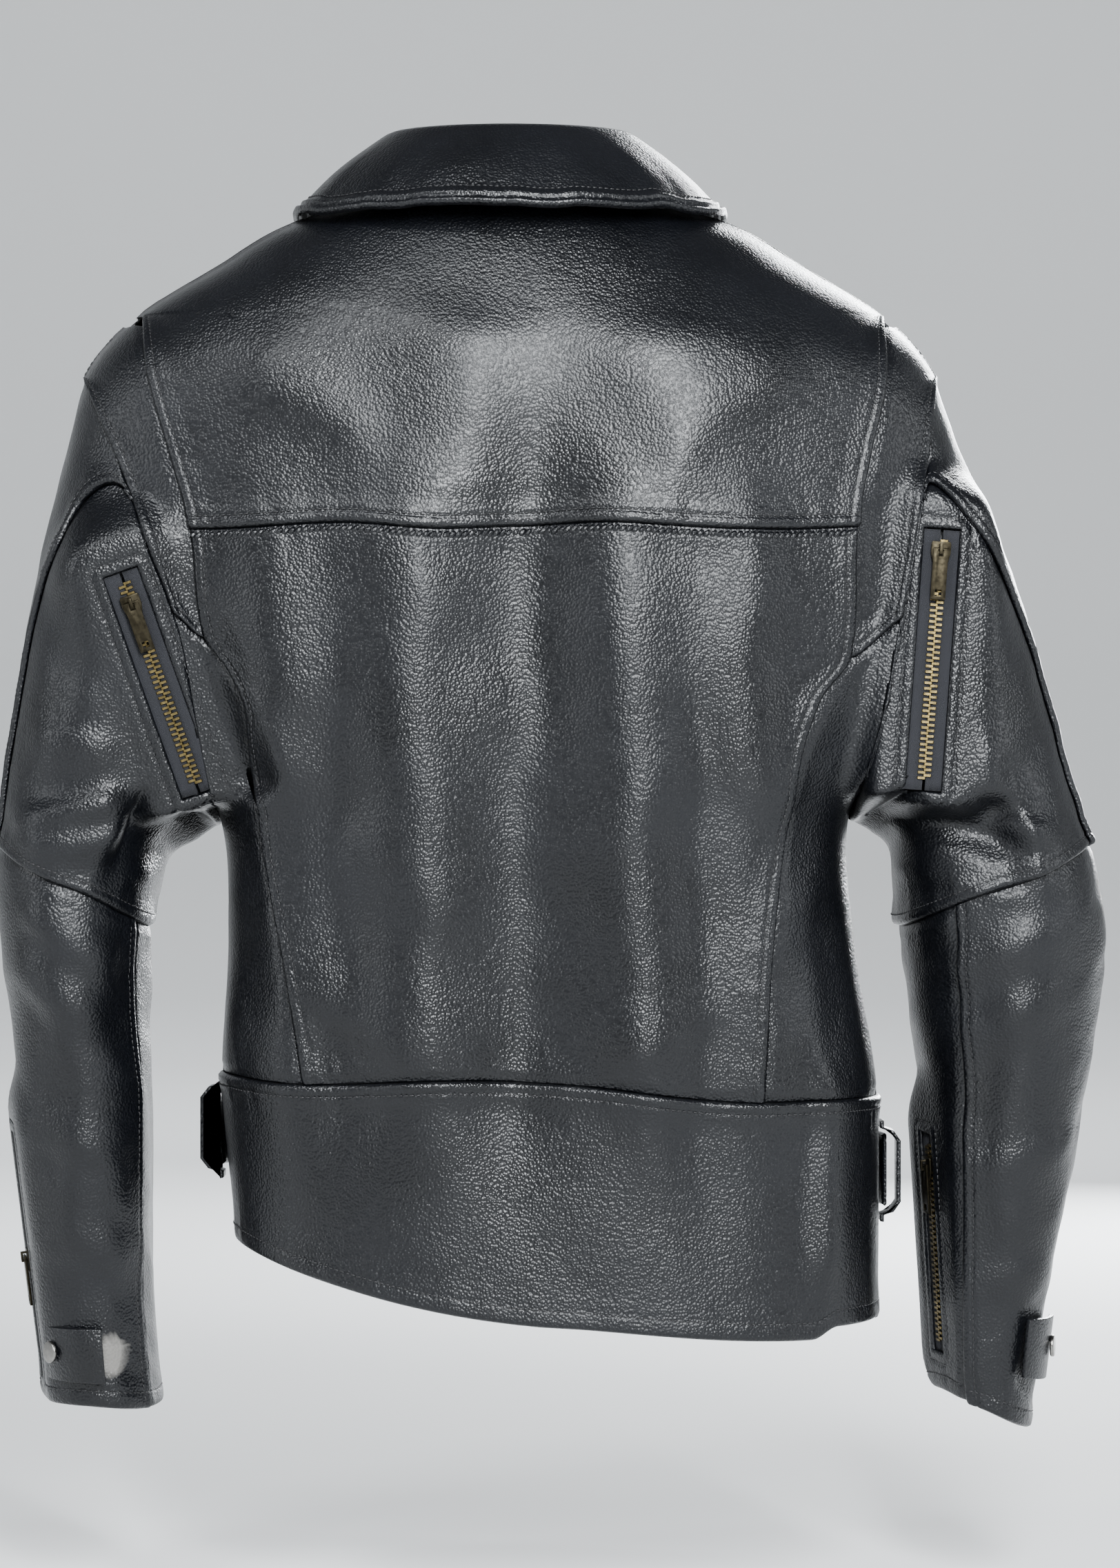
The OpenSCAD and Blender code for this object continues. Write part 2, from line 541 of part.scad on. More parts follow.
// ---- cuffs ----
tab_rise = 3.6;
tab_t = 2.8;
tab_h = 30;
snap_d = 12;
snap_t = 2.2;
// b at the sewn end and at the free end, and the height of the tab's middle
tab_left = [-96, -40, -628];
tab_right = [-66, -12, -622];
function tab_of(side) = side < 0 ? tab_left : tab_right;
function tab_pt(side, part) = let (t = tab_of(side)) sleeve_pt(side, sleeve_u(side, t[2]), mix(t[0], t[1], part));
module cuff_tab(side) {
    t = tab_of(side);
    columns = 8;
    color(leather_colour) sheet(
        [for (i = [0:3]) let (u = sleeve_u(side, t[2] + tab_h / 2 - tab_h * i / 3))
            [for (j = [0:columns]) sleeve_pt(side, u, mix(t[0], t[1], j / columns))]],
        tab_rise + tab_t, tab_t, side < 0 ? [-0.3, -1, 0] : [0.6, -1, 0]);
}
// The cap of the snap, on the tab near its free end
module cuff_snap(side) {
    place = 0.78;
    p = tab_pt(side, place);
    along = tab_pt(side, place + 0.1) - tab_pt(side, place - 0.1);
    out = unit(side * [along[1], -along[0], 0]);
    color(metal_colour) translate(p + out * (tab_rise + tab_t + 0.8)) rotate([0, 90, atan2(out[1], out[0])])
        cylinder(d = snap_d, h = snap_t, $fn = 32);
}

// ---- belt ----
belt_rise = 4.4;
buckle = [46, 54];
wire = 4;
buckle_x = 40;
heel_x = buckle_x - buckle[0] / 2 + wire / 2;
heel_y = front_depth + 6.4;
tongue_y = front_depth + 10.4;
far_x = heel_x + buckle[0] - wire;
far_y = tongue_y + belt_t + wire / 2 + 0.8;
prong_d = 3.6;
hinge_clear = 0.06;
eye_wall = 1.4;
eye_r = wire / 2 + hinge_clear + eye_wall;
belt_end_turn = 84;
function belt_mid(turn) = belt_z - belt_slope * sin(turn);
module belt_band(from, to) {
    color(leather_colour) sheet(
        [for (i = [0:3]) [for (j = [0:14])
            let (turn = mix(from, to, j / 14))
            body_pt(turn, belt_mid(turn) + belt_w / 2 - belt_w * i / 3, 1)]],
        belt_rise + belt_t, belt_t, front_away);
}
// Both ends of the strap, the two eyes that hold the buckle, and the tongue with the prong's slot
module belt_strap() {
    strap_end_x = heel_x - 10;
    tongue_end = heel_x - 34;
    tongue_root = far_x + 20;
    slot = [38, 6];
    eye_h = 12;
    eye_y = heel_y + 0.9;
    drop = 6.2;
    belt_band(-belt_end_turn, turn_at(strap_end_x - lean_at(belt_z), belt_z));
    belt_band(turn_at(tongue_root + 0.6 - lean_at(belt_z), belt_z), belt_end_turn);
    color(leather_colour) {
        for (z = [belt_z - belt_w / 2, belt_z + belt_w / 2 - eye_h]) translate([0, 0, z]) difference() {
            union() {
                translate([heel_x, heel_y, 0]) cylinder(r = eye_r, h = eye_h, $fn = 48);
                translate([heel_x - 30, eye_y, 0]) cube([30, 1.8, eye_h]);
            }
            translate([heel_x, heel_y, -1]) cylinder(r = wire / 2 + hinge_clear, h = eye_h + 2, $fn = 48);
        }
        translate([0, 0, belt_z - belt_w / 2]) difference() {
            linear_extrude(belt_w) polygon([
                [tongue_end, tongue_y], [far_x, tongue_y], [tongue_root, tongue_y - drop],
                [tongue_root, tongue_y - drop + belt_t], [far_x + 1, tongue_y + belt_t],
                [tongue_end, tongue_y + belt_t]]);
            translate([heel_x - 6, tongue_y - 1, (belt_w - slot[1]) / 2]) cube([slot[0], belt_t + 2, slot[1]]);
        }
    }
}
module belt_buckle() {
    half_h = buckle[1] / 2 - wire / 2;
    run = [far_x - heel_x, far_y - heel_y];
    bar = wire - 0.6;
    color(metal_colour) translate([heel_x, heel_y, belt_z]) rotate([0, 0, atan2(run[1], run[0])]) {
        translate([0, 0, -half_h]) cylinder(d = wire, h = 2 * half_h, $fn = 48);
        for (k = [-half_h - bar / 2, half_h - bar / 2])
            translate([-wire / 2 - 0.5, -bar / 2, k]) cube([norm(run) + wire / 2 + 0.5 + bar / 2, bar, bar]);
        translate([norm(run) - bar / 2, -bar / 2, -half_h]) cube([bar, bar, 2 * half_h]);
    }
}
module buckle_prong() {
    rest_y = far_y + wire / 2 + 0.4;
    reach = buckle[0] - 1;
    stock = 2.2;
    from_y = heel_y + eye_r - 0.8;
    color(metal_colour) {
        translate([heel_x, heel_y, belt_z - prong_d / 2]) difference() {
            cylinder(r = eye_r, h = prong_d, $fn = 48);
            translate([0, 0, -1]) cylinder(r = wire / 2 + hinge_clear, h = prong_d + 2, $fn = 48);
        }
        translate([heel_x, from_y, belt_z]) rotate([0, 0, atan2(rest_y - from_y, far_x - heel_x)])
            translate([0, 0, 0.3 - prong_d / 2]) cube([reach, stock, prong_d - 0.6]);
    }
}
// A strip of leather at each side that arches over the belt
module belt_loops() {
    loop_h = 56;
    loop_t = 2.2;
    loop_w = 22;
    reach = [14.5, 13];
    color(leather_colour) for (i = [0, 1]) {
        side = i == 0 ? -1 : 1;
        z = belt_mid(side * 90);
        p = body_pt(side * 90, z, 1);
        arch = [[0.6, -0.5], [0.6, -0.43], [0.7, -0.4], [1, -0.3], [1, 0.3], [0.7, 0.4], [0.6, 0.43], [0.6, 0.5]];
        outer = [for (a = arch) [a[0] < 0.65 ? loop_t + 1.6 : reach[i] * a[0], a[1] * loop_h]];
        inner = [for (k = [7:-1:0]) [outer[k][0] - loop_t, outer[k][1] * 0.985]];
        translate([p[0], p[1] + 6, z]) mirror([side < 0 ? 1 : 0, 0, 0]) rotate([90, 0, 0])
            translate([0, 0, -loop_w]) linear_extrude(loop_w) polygon(concat(outer, inner));
    }
}

back_yoke();
back_panel();
side_panel(-1);  // side_panel_left
side_panel(1);  // side_panel_right
back_gusset(-1);  // back_gusset_left
back_gusset(1);  // back_gusset_right
front_panel(-1);  // front_panel_left
front_panel(1);  // front_panel_right
lapel(-1);  // lapel_left
lapel(1);  // lapel_right
collar();
waistband();
yoke_braid();
body_lining();
hanger_loop();
belt_loops();
belt_strap();
belt_buckle();
buckle_prong();
pocket_bags();
lapel_snaps();
top_sleeve(-1);  // top_sleeve_left
top_sleeve(1);  // top_sleeve_right
under_sleeve(-1);  // under_sleeve_left
under_sleeve(1);  // under_sleeve_right
forearm_top(-1);  // forearm_top_left
forearm_top(1);  // forearm_top_right
forearm_under(-1);  // forearm_under_left
forearm_under(1);  // forearm_under_right
forearm_lining(-1);  // forearm_lining_left
forearm_lining(1);  // forearm_lining_right
cuff_tab(-1);  // cuff_tab_left
cuff_tab(1);  // cuff_tab_right
cuff_snap(-1);  // cuff_snap_left
cuff_snap(1);  // cuff_snap_right
union() {  // vent_zip_tapes
    zip_tape(zip_vent_left);
    zip_tape(zip_vent_right);
}
union() {  // vent_zip_teeth
    zip_teeth(zip_vent_left);
    zip_teeth(zip_vent_right);
}
for (z = front_zips) zip_tape(z);  // front_zip_tapes
for (z = front_zips) zip_teeth(z);  // front_zip_teeth
zip_tape(zip_cuff_left);  // cuff_zip_tape_left
zip_tape(zip_cuff_right);  // cuff_zip_tape_right
zip_teeth(zip_cuff_left);  // cuff_zip_teeth_left
zip_teeth(zip_cuff_right);  // cuff_zip_teeth_right
zip_slider(zip_vent_left);  // vent_slider_left
zip_slider(zip_vent_right);  // vent_slider_right
zip_pull(zip_vent_left);  // vent_pull_left
zip_pull(zip_vent_right);  // vent_pull_right
zip_slider(zip_main);  // main_slider
zip_pull(zip_main);  // main_pull
zip_slider(zip_hand_left);  // hand_slider_left
zip_slider(zip_hand_right);  // hand_slider_right
zip_pull(zip_hand_left);  // hand_pull_left
zip_pull(zip_hand_right);  // hand_pull_right
zip_slider(zip_chest);  // chest_slider
zip_pull(zip_chest);  // chest_pull
zip_slider(zip_cuff_left);  // cuff_slider_left
zip_slider(zip_cuff_right);  // cuff_slider_right
zip_pull(zip_cuff_left);  // cuff_pull_left
zip_pull(zip_cuff_right);  // cuff_pull_right
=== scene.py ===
"""Leather riding jacket: the leather, lining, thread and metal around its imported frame."""

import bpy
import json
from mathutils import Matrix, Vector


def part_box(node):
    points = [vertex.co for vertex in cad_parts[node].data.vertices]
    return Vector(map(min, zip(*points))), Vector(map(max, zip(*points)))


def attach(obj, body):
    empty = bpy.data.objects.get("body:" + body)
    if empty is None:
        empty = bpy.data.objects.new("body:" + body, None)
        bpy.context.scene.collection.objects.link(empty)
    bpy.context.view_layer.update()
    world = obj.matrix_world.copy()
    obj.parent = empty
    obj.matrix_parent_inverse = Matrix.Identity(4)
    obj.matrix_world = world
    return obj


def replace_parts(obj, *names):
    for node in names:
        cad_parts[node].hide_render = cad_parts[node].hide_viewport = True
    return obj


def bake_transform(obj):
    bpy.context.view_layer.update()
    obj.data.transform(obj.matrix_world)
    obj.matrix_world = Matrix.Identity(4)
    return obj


bl_info = {
    "name": "Leather Riding Jacket",
    "version": (1, 0, 0),
    "blender": (4, 5, 0),
    "location": "View3D > Sidebar > Jacket",
    "description": "Builds a hung leather riding jacket, panel by panel",
    "category": "Object",
}

import json
import math

import bmesh
import bpy
import numpy as np
from mathutils import Vector

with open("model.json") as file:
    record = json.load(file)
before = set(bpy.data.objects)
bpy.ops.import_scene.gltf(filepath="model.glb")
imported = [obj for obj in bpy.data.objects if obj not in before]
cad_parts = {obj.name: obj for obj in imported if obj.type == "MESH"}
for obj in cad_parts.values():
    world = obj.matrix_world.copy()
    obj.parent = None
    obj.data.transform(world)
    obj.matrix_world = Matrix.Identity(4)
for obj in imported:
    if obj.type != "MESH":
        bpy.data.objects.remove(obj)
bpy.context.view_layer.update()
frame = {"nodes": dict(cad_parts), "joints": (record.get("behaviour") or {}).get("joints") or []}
MM = 0.001
JACKET = "jacket"
LEFT, RIGHT = -1, 1
SIDE_NAME = {LEFT: "left", RIGHT: "right"}
BACK, FRONT = -1, 1


# ---- Sizes and colours that a user would change ----

class JacketSizes(bpy.types.PropertyGroup):
    leather_t: bpy.props.FloatProperty(
        name="Leather", description="Thickness of the leather", default=1.4 * MM, min=0.0008, max=0.003,
        subtype="DISTANCE", unit="LENGTH")
    step: bpy.props.FloatProperty(
        name="Mesh step", description="Spacing of the points on a panel", default=3.4 * MM, min=0.002,
        max=0.01, subtype="DISTANCE", unit="LENGTH")
    stitch_pitch: bpy.props.FloatProperty(
        name="Stitch pitch", description="Distance from one stitch to the next", default=3.3 * MM, min=0.002,
        max=0.006, subtype="DISTANCE", unit="LENGTH")
    thread_d: bpy.props.FloatProperty(
        name="Thread", description="Thickness of the topstitching thread", default=0.95 * MM, min=0.0003,
        max=0.002, subtype="DISTANCE", unit="LENGTH")
    grain: bpy.props.FloatProperty(
        name="Grain", description="Width of one pebble of the leather's grain", default=1.5 * MM, min=0.0005,
        max=0.004, subtype="DISTANCE", unit="LENGTH")
    fold: bpy.props.FloatProperty(
        name="Folds", description="Strength of the drape's folds, 1 as the leather hangs", default=1.0,
        min=0.0, max=1.5, subtype="FACTOR")


class JacketColours(bpy.types.PropertyGroup):
    leather: bpy.props.StringProperty(name="Leather", description="sRGB hex of the leather",
                                      default="#050609")
    lining: bpy.props.StringProperty(name="Lining", description="sRGB hex of the lining", default="#15161A")
    tape: bpy.props.StringProperty(name="Zip tape", description="sRGB hex of the zip tape", default="#121318")
    thread: bpy.props.StringProperty(name="Thread", description="sRGB hex of the thread", default="#0E0E10")
    teeth: bpy.props.StringProperty(name="Teeth", description="sRGB hex of the zip teeth", default="#675A3A")
    slider: bpy.props.StringProperty(name="Sliders", description="sRGB hex of the sliders", default="#302C22")
    nickel: bpy.props.StringProperty(name="Hardware", description="sRGB hex of the nickel", default="#8C8A86")
    stage: bpy.props.StringProperty(name="Stage", description="sRGB hex of the floor", default="#DCDDDD")


def sizes():
    return bpy.context.scene.jacket_sizes


def colours():
    return bpy.context.scene.jacket_colours


# ---- Curves through rows of numbers, in millimetres ----

def on_rows(rows, key):
    """The rows' values at key, on a smooth curve through the rows."""
    rows = np.array(rows, float)
    key = np.asarray(key, float)
    way = np.sign(rows[1, 0] - rows[0, 0])
    last = len(rows) - 1
    i = np.clip(np.searchsorted(way * rows[:, 0], way * key, side="right") - 1, 0, last - 1)
    before = np.clip(np.arange(last + 1) - 1, 0, last)
    after = np.clip(np.arange(last + 1) + 1, 0, last)
    slope = (rows[after] - rows[before]) / (rows[after, 0] - rows[before, 0])[:, None]
    p, q = rows[i], rows[i + 1]
    h = (q[..., 0] - p[..., 0])[..., None]
    t = np.clip((key[..., None] - p[..., :1]) / h, 0, 1)
    out = (p * (2 * t**3 - 3 * t**2 + 1) + slope[i] * h * (t**3 - 2 * t**2 + t)
           + q * (3 * t**2 - 2 * t**3) + slope[i + 1] * h * (t**3 - t**2))
    return out[..., 1:]


def ease(t):
    t = np.clip(t, 0, 1)
    return t * t * (3 - 2 * t)


def mix(a, b, t):
    return a + (b - a) * t


def bump(x, centre, width):
    """A hill of height 1 that fades over width."""
    return np.exp(-((x - centre) / width) ** 2)


def unit(v):
    return v / np.maximum(np.linalg.norm(v, axis=-1, keepdims=True), 1e-9)


# ---- The body's surface ----
# height, half width, half depth at the back and at the front, squareness
BODY = [
    [0, 70, 56, 56, 2], [-10, 116, 66, 66, 2], [-35, 160, 80, 80, 2.1], [-64, 206, 91, 90, 2.3],
    [-95, 232, 98, 96, 2.6], [-140, 244, 102, 101, 2.6], [-200, 240, 106, 104, 2.6],
    [-260, 217, 108, 104, 2.6], [-305, 192, 108, 104, 2.6], [-335, 172, 107, 104, 2.6],
    [-400, 171, 104, 104, 2.6], [-480, 179, 102, 104, 2.6], [-540, 177, 102, 104, 2.6],
    [-620, 172, 102, 104, 2.6]]
SHOULDER_Z, ARMPIT_Z, WAIST_Z, YOKE_Z = -95, -335, -480, -181
RIDGE = 89.98          # turn of the line between back and front
BACK_HALF_W = 178      # about half the back's width, for the waves of its cross seams
# height, distance of the armhole seam from the leaning middle
ARMHOLE = {
    LEFT: [[-95, 232], [-148, 211], [-190, 198], [-235, 184], [-285, 178], [-335, 172]],
    RIGHT: [[-95, 232], [-148, 222], [-190, 213], [-235, 202], [-285, 190], [-335, 172]]}
# height, distance of the yoke's side edge and then of the princess seam from the leaning middle
BACK_SEAM = {
    LEFT: [[-64, 200], [-100, 194], [-140, 184], [-181, 175], [-238, 171], [-258, 157], [-280, 147],
           [-356, 142], [-420, 134], [-480, 130]],
    RIGHT: [[-64, 204], [-100, 203], [-140, 192], [-181, 182], [-250, 174], [-272, 156], [-305, 142],
            [-365, 127], [-411, 120], [-480, 114]]}
GUSSET_END_Z = -236
GUSSET_FOOT = {LEFT: (-240, -225), RIGHT: (-250, -229)}    # its height at the seam and at the armhole


def lean_at(z):
    return 28 * np.maximum(0, SHOULDER_Z - z) / 500


def turn_at(x, z):
    r = on_rows(BODY, z)
    return np.sign(x) * np.degrees(np.arcsin(np.minimum(1, np.abs(x) / r[..., 0]) ** (r[..., 3] / 2)))


def body_pt(turn, z, face):
    """A point of the body in millimetres: turn from the middle, height, and the face, back or front."""
    turn, z = np.broadcast_arrays(np.clip(turn, -RIDGE, RIDGE), np.asarray(z, float))
    r = on_rows(BODY, z)
    e = 2 / r[..., 3]
    depth = r[..., 1] if face == BACK else r[..., 2]
    a = np.radians(turn)
    x = lean_at(z) + np.sign(turn) * r[..., 0] * np.abs(np.sin(a)) ** e
    return np.stack([x, face * depth * np.abs(np.cos(a)) ** e, z], -1)


def armhole_x(side, z):
    return on_rows(ARMHOLE[side], z)[..., 0]


def side_turn(side, z):
    inside = (z < SHOULDER_Z) & (z > ARMPIT_Z)
    return np.where(inside, turn_at(armhole_x(side, z), z), RIDGE)


def seam_turn(side, z):
    """Turn of the yoke's side edge, or of the princess seam under it."""
    return np.where(z > -64, RIDGE, turn_at(on_rows(BACK_SEAM[side], z)[..., 0], z))


def yoke_seam(turn):
    """Height of the yoke's lower edge, which hangs in soft waves."""
    x = BACK_HALF_W * np.sin(np.radians(turn))
    return YOKE_Z + 3.6 * np.sin(x / 32 + 2.2) * bump(x, 0, 150) - 6.5 * bump(x, -18, 24) + 2


def waist_seam(turn):
    x = BACK_HALF_W * np.sin(np.radians(turn))
    return WAIST_Z - 7 * np.sin(np.radians(turn)) + 4.5 * np.sin(x / 38 + 2.2) * bump(x, 0, 150)


def hem_z(turn):
    s = np.sin(np.radians(turn))
    return -606 - 24 * s + 17 * s**2 + 6 * ease((s - 0.72) / 0.1)


def front_hem_z(turn):
    return -588 - 22 * np.sin(np.radians(turn))


# ---- The sleeves' surface ----
# place, outer edge x and z, inner edge x and z, half depth, middle y
SLEEVE = {
    LEFT: [
        [0, -232, -95, -158.5, -335, 66, 0], [1, -246, -150, -160, -337, 69, 0],
        [2, -262, -225, -165, -340, 71, 0], [3, -275, -300, -173, -345, 71, 2],
        [4, -281, -358, -188, -358, 69, 4], [5, -280, -400, -198, -400, 66, 8],
        [6, -274, -450, -199, -450, 62, 14], [7, -267, -520, -198, -520, 58, 22],
        [8, -258, -590, -198, -590, 55, 30], [9, -252, -655, -194, -660, 53, 36]],
    RIGHT: [
        [0, 232, -95, 185.5, -335, 66, 0], [1, 252, -150, 187, -337, 69, 0],
        [2, 280, -225, 191, -340, 71, 0], [3, 304, -300, 198, -345, 71, 2],
        [4, 320, -358, 209, -358, 69, 4], [5, 327, -400, 215, -400, 66, 8],
        [6, 322, -450, 221, -450, 62, 14], [7, 311, -520, 232, -520, 58, 22],
        [8, 297, -590, 238, -590, 55, 30], [9, 287, -672, 240, -650, 52, 36]]}
SQUARE = 2.3
ELBOW_BEND_TOP, ELBOW_BEND_FOOT = -0.345, -0.435    # metres: where an elbow's bend would start and end; on_elbow reads them but bends nothing
FRONT_SEAM_B = 145
FOREARM_SEAM_B = {LEFT: -146, RIGHT: -118}


def swing(c):
    return np.sign(c) * np.abs(c) ** (2 / SQUARE)


def armhole_pt(side, b):
    z = mix(SHOULDER_Z, ARMPIT_Z, (1 - np.cos(np.radians(b))) / 2)
    turn = side * turn_at(armhole_x(side, z), z)
    back = np.sin(np.radians(b)) < 0
    return np.where(back[..., None], body_pt(turn, z, BACK), body_pt(turn, z, FRONT))


def ring_pt(side, u, b):
    r = on_rows(SLEEVE[side], u)
    c, s = swing(np.cos(np.radians(b))), swing(np.sin(np.radians(b)))
    part = (1 + c) / 2
    return np.stack([mix(r[..., 2], r[..., 0], part), r[..., 5] + r[..., 4] * s,
                     mix(r[..., 3], r[..., 1], part)], -1)


def sleeve_pt(side, u, b):
    """A point of a sleeve: u along it, b round it, 0 on the outer edge, 90 in front and -90 at the back."""
    u, b = np.broadcast_arrays(np.asarray(u, float), np.asarray(b, float))
    t = ease(np.minimum(u, 1))[..., None]
    return mix(armhole_pt(side, b), ring_pt(side, np.maximum(u, 0), b), t)


def sleeve_u(side, z):
    """Place along the sleeve of height z, under the armpit."""
    u = np.linspace(3, 9, 200)
    r = on_rows(SLEEVE[side], u)
    heights = (r[:, 1] + r[:, 3]) / 2
    return np.interp(-np.asarray(z, float), -heights, u)


def elbow_seam(side, b):
    return sleeve_u(side, -373 + 22 * np.cos(np.radians(b)))


def sleeve_seam_b(u):
    """Where the raised seam between top and under sleeve runs."""
    return on_rows([[0, -66], [1, -46], [2, -30], [3, -24], [5, -22]], np.minimum(5, u))[..., 0]


# ---- The zips' own frames: x along the zip, z out of the leather, in millimetres ----

LIP_Y, VENT_LIP_Y = 6.3, 9.5    # half width of the opening in the leather, and of a vent's


# millimetres of chain before the slider's first stop and past its last, and the pull's hinge from the chain's
# middle under the slider: back along the chain and out of it
CHAIN_BEFORE, CHAIN_PAST, HINGE_BACK, HINGE_OUT = 7.5, 8, 1.8, 3.8


class Zip:
    """A zip as its slide and its pull's hinge place it; side is "", "_left" or "_right"."""

    def __init__(self, kind, side, tape, teeth, body):
        self.tape, self.teeth, self.body = tape, teeth, body
        self.slider, self.pull = kind + "_slider" + side, kind + "_pull" + side
        joints = {j["name"]: j for j in frame["joints"]}
        slide, hinge = joints[kind + "_zip_slide" + side], joints[kind + "_pull_hinge" + side]
        self.way = unit(np.array(slide["axis"], float))
        axis = unit(np.array(hinge["axis"], float))
        self.out = unit(np.cross(axis, self.way))
        self.side = np.cross(self.out, self.way)
        low, high = [v / MM for v in slide["range_m"]]
        at = CHAIN_BEFORE - low
        self.length = high + at + CHAIN_PAST
        seat = np.array(hinge["pos_m"], float) / MM + HINGE_BACK * self.way - HINGE_OUT * self.out
        self.origin = seat - self.way * at
        self.lip, self.reach = (VENT_LIP_Y, 30) if kind == "vent" else (LIP_Y, 20)

    def local(self, p):
        d = p - self.origin
        return np.stack([d @ self.way, d @ self.side, d @ self.out], -1)

    def world(self, q):
        q = np.asarray(q, float)
        return self.origin + q[..., :1] * self.way + q[..., 1:2] * self.side + q[..., 2:] * self.out


ZIPS = {}


def read_zips():
    """The eight zips, from the joints of their sliders and pulls."""
    front = ("front_zip_tapes", "front_zip_teeth", JACKET)
    for side in ("_left", "_right"):
        for kind, tape, teeth, body in (
                ("vent", "vent_zip_tapes", "vent_zip_teeth", JACKET),
                ("cuff", "cuff_zip_tape" + side, "cuff_zip_teeth" + side, "forearm" + side),
                ("hand",) + front):
            ZIPS[kind + side[:2]] = Zip(kind, side, tape, teeth, body)
    for kind in ("chest", "main"):
        ZIPS[kind] = Zip(kind, "", *front)


LIP_Z = 1.7        # height of the leather beside a zip over the chain's middle
LIP_END = 5.0      # the opening's length past the chain's ends
LIFT_FLAT = 14.0
LIFT_FADE = 40.0


def off_rectangle(q, zipped, hurry=1.0):
    """Distance from the opening's edge, negative inside it; hurry stretches it past the foot."""
    dx = np.maximum(-LIP_END - q[..., 0], (q[..., 0] - zipped.length - LIP_END) * hurry)
    dy = np.abs(q[..., 1]) - zipped.lip
    outside = np.hypot(np.maximum(dx, 0), np.maximum(dy, 0))
    return outside + np.minimum(np.maximum(dx, dy), 0)


def lifted(p, keys, deeper=0.0):
    """The leather, or the lining deeper under it, brought flat to the straight zips that it holds."""
    for z in (ZIPS[key] for key in keys):
        q = z.local(p)
        d = off_rectangle(q, z, 2.6 if z.lip > LIP_Y else 1.0)
        near = 1 - ease((d - LIFT_FLAT) / (LIFT_FADE - LIFT_FLAT))
        weight = near * (1 - ease((np.abs(q[..., 2]) - z.reach) / 30))
        p = p + z.out * ((LIP_Z - deeper - q[..., 2]) * weight)[..., None]
    return p


# ---- How the leather hangs: folds of the surface, in millimetres along its normal ----

def wander(x, seed, width):
    """A smooth random line of about unit height whose hills are about width long."""
    rng = np.random.default_rng(seed)
    total = 0
    for scale in (1.0, 1.7, 2.9):
        stretch, shift = rng.uniform(0.85, 1.15), rng.uniform(0, 6.3)
        total = total + np.sin(x / width * 2.4 * scale * stretch + shift) / scale
    return total / 1.6


def folds(table, x, z):
    """Sum of folds: each row has x, z, x, z of its two ends, height, width, and how lopsided it is."""
    total = 0
    for x0, z0, x1, z1, height, width, steep in table:
        run = np.hypot(x1 - x0, z1 - z0)
        ux, uz = (x1 - x0) / run, (z1 - z0) / run
        along = ((x - x0) * ux + (z - z0) * uz) / run
        bow = wander(along * run, int(abs(x0) + abs(z0)), 60) * min(4, width / 3)
        across = (x - x0) * uz - (z - z0) * ux + bow
        w = width * np.where(across > 0, 1 - steep, 1 + steep)
        ends = ease(along / 0.28) * ease((1 - along) / 0.28)
        total = total + height * ends * np.exp(-0.5 * (across / w) ** 2)
    return total * 1.5


BACK_FOLDS = [
    [-132, -120, -112, -560, 4.0, 15, 0.2], [-58, -90, -38, -560, 5.5, 20, -0.2],
    [58, -110, 80, -560, 7.0, 21, 0.15], [122, -110, 142, -540, 4.5, 15, -0.2],
    [14, -70, 4, -600, -6.0, 18, 0.0], [98, -220, 104, -600, -3.0, 12, 0.0],
    [-92, -200, -84, -590, -2.5, 13, 0.0], [-30, -40, -20, -200, 3.5, 24, 0.0],
    [90, -44, 84, -200, 3.5, 34, 0.0], [-150, -90, -60, -140, 1.6, 14, 0.2],
    [160, -90, 70, -150, 1.8, 14, -0.2], [-120, -420, -30, -470, 1.6, 10, 0.3],
    [120, -430, 40, -474, 1.8, 10, -0.3], [-90, -330, -20, -400, 1.2, 16, 0.2],
    [80, -300, 10, -380, 1.2, 16, -0.2], [-165, -250, -120, -330, 2.4, 9, 0.2],
    [176, -262, 130, -345, 2.4, 9, -0.2], [165, -440, 172, -610, 5.0, 9, 0.35],
    [-160, -350, -150, -480, 2.0, 9, 0.2], [160, -350, 158, -480, 2.2, 9, -0.2]]
FRONT_FOLDS = [
    [-120, -150, -100, -560, 4.0, 18, 0.2], [-50, -260, -45, -560, 3.0, 18, 0.0],
    [120, -150, 135, -560, 4.0, 18, 0.0], [-150, -330, -70, -380, 2.0, 14, 0.2],
    [150, -330, 90, -370, 2.0, 14, 0.2], [90, -250, 96, -560, -2.5, 16, 0.0]]
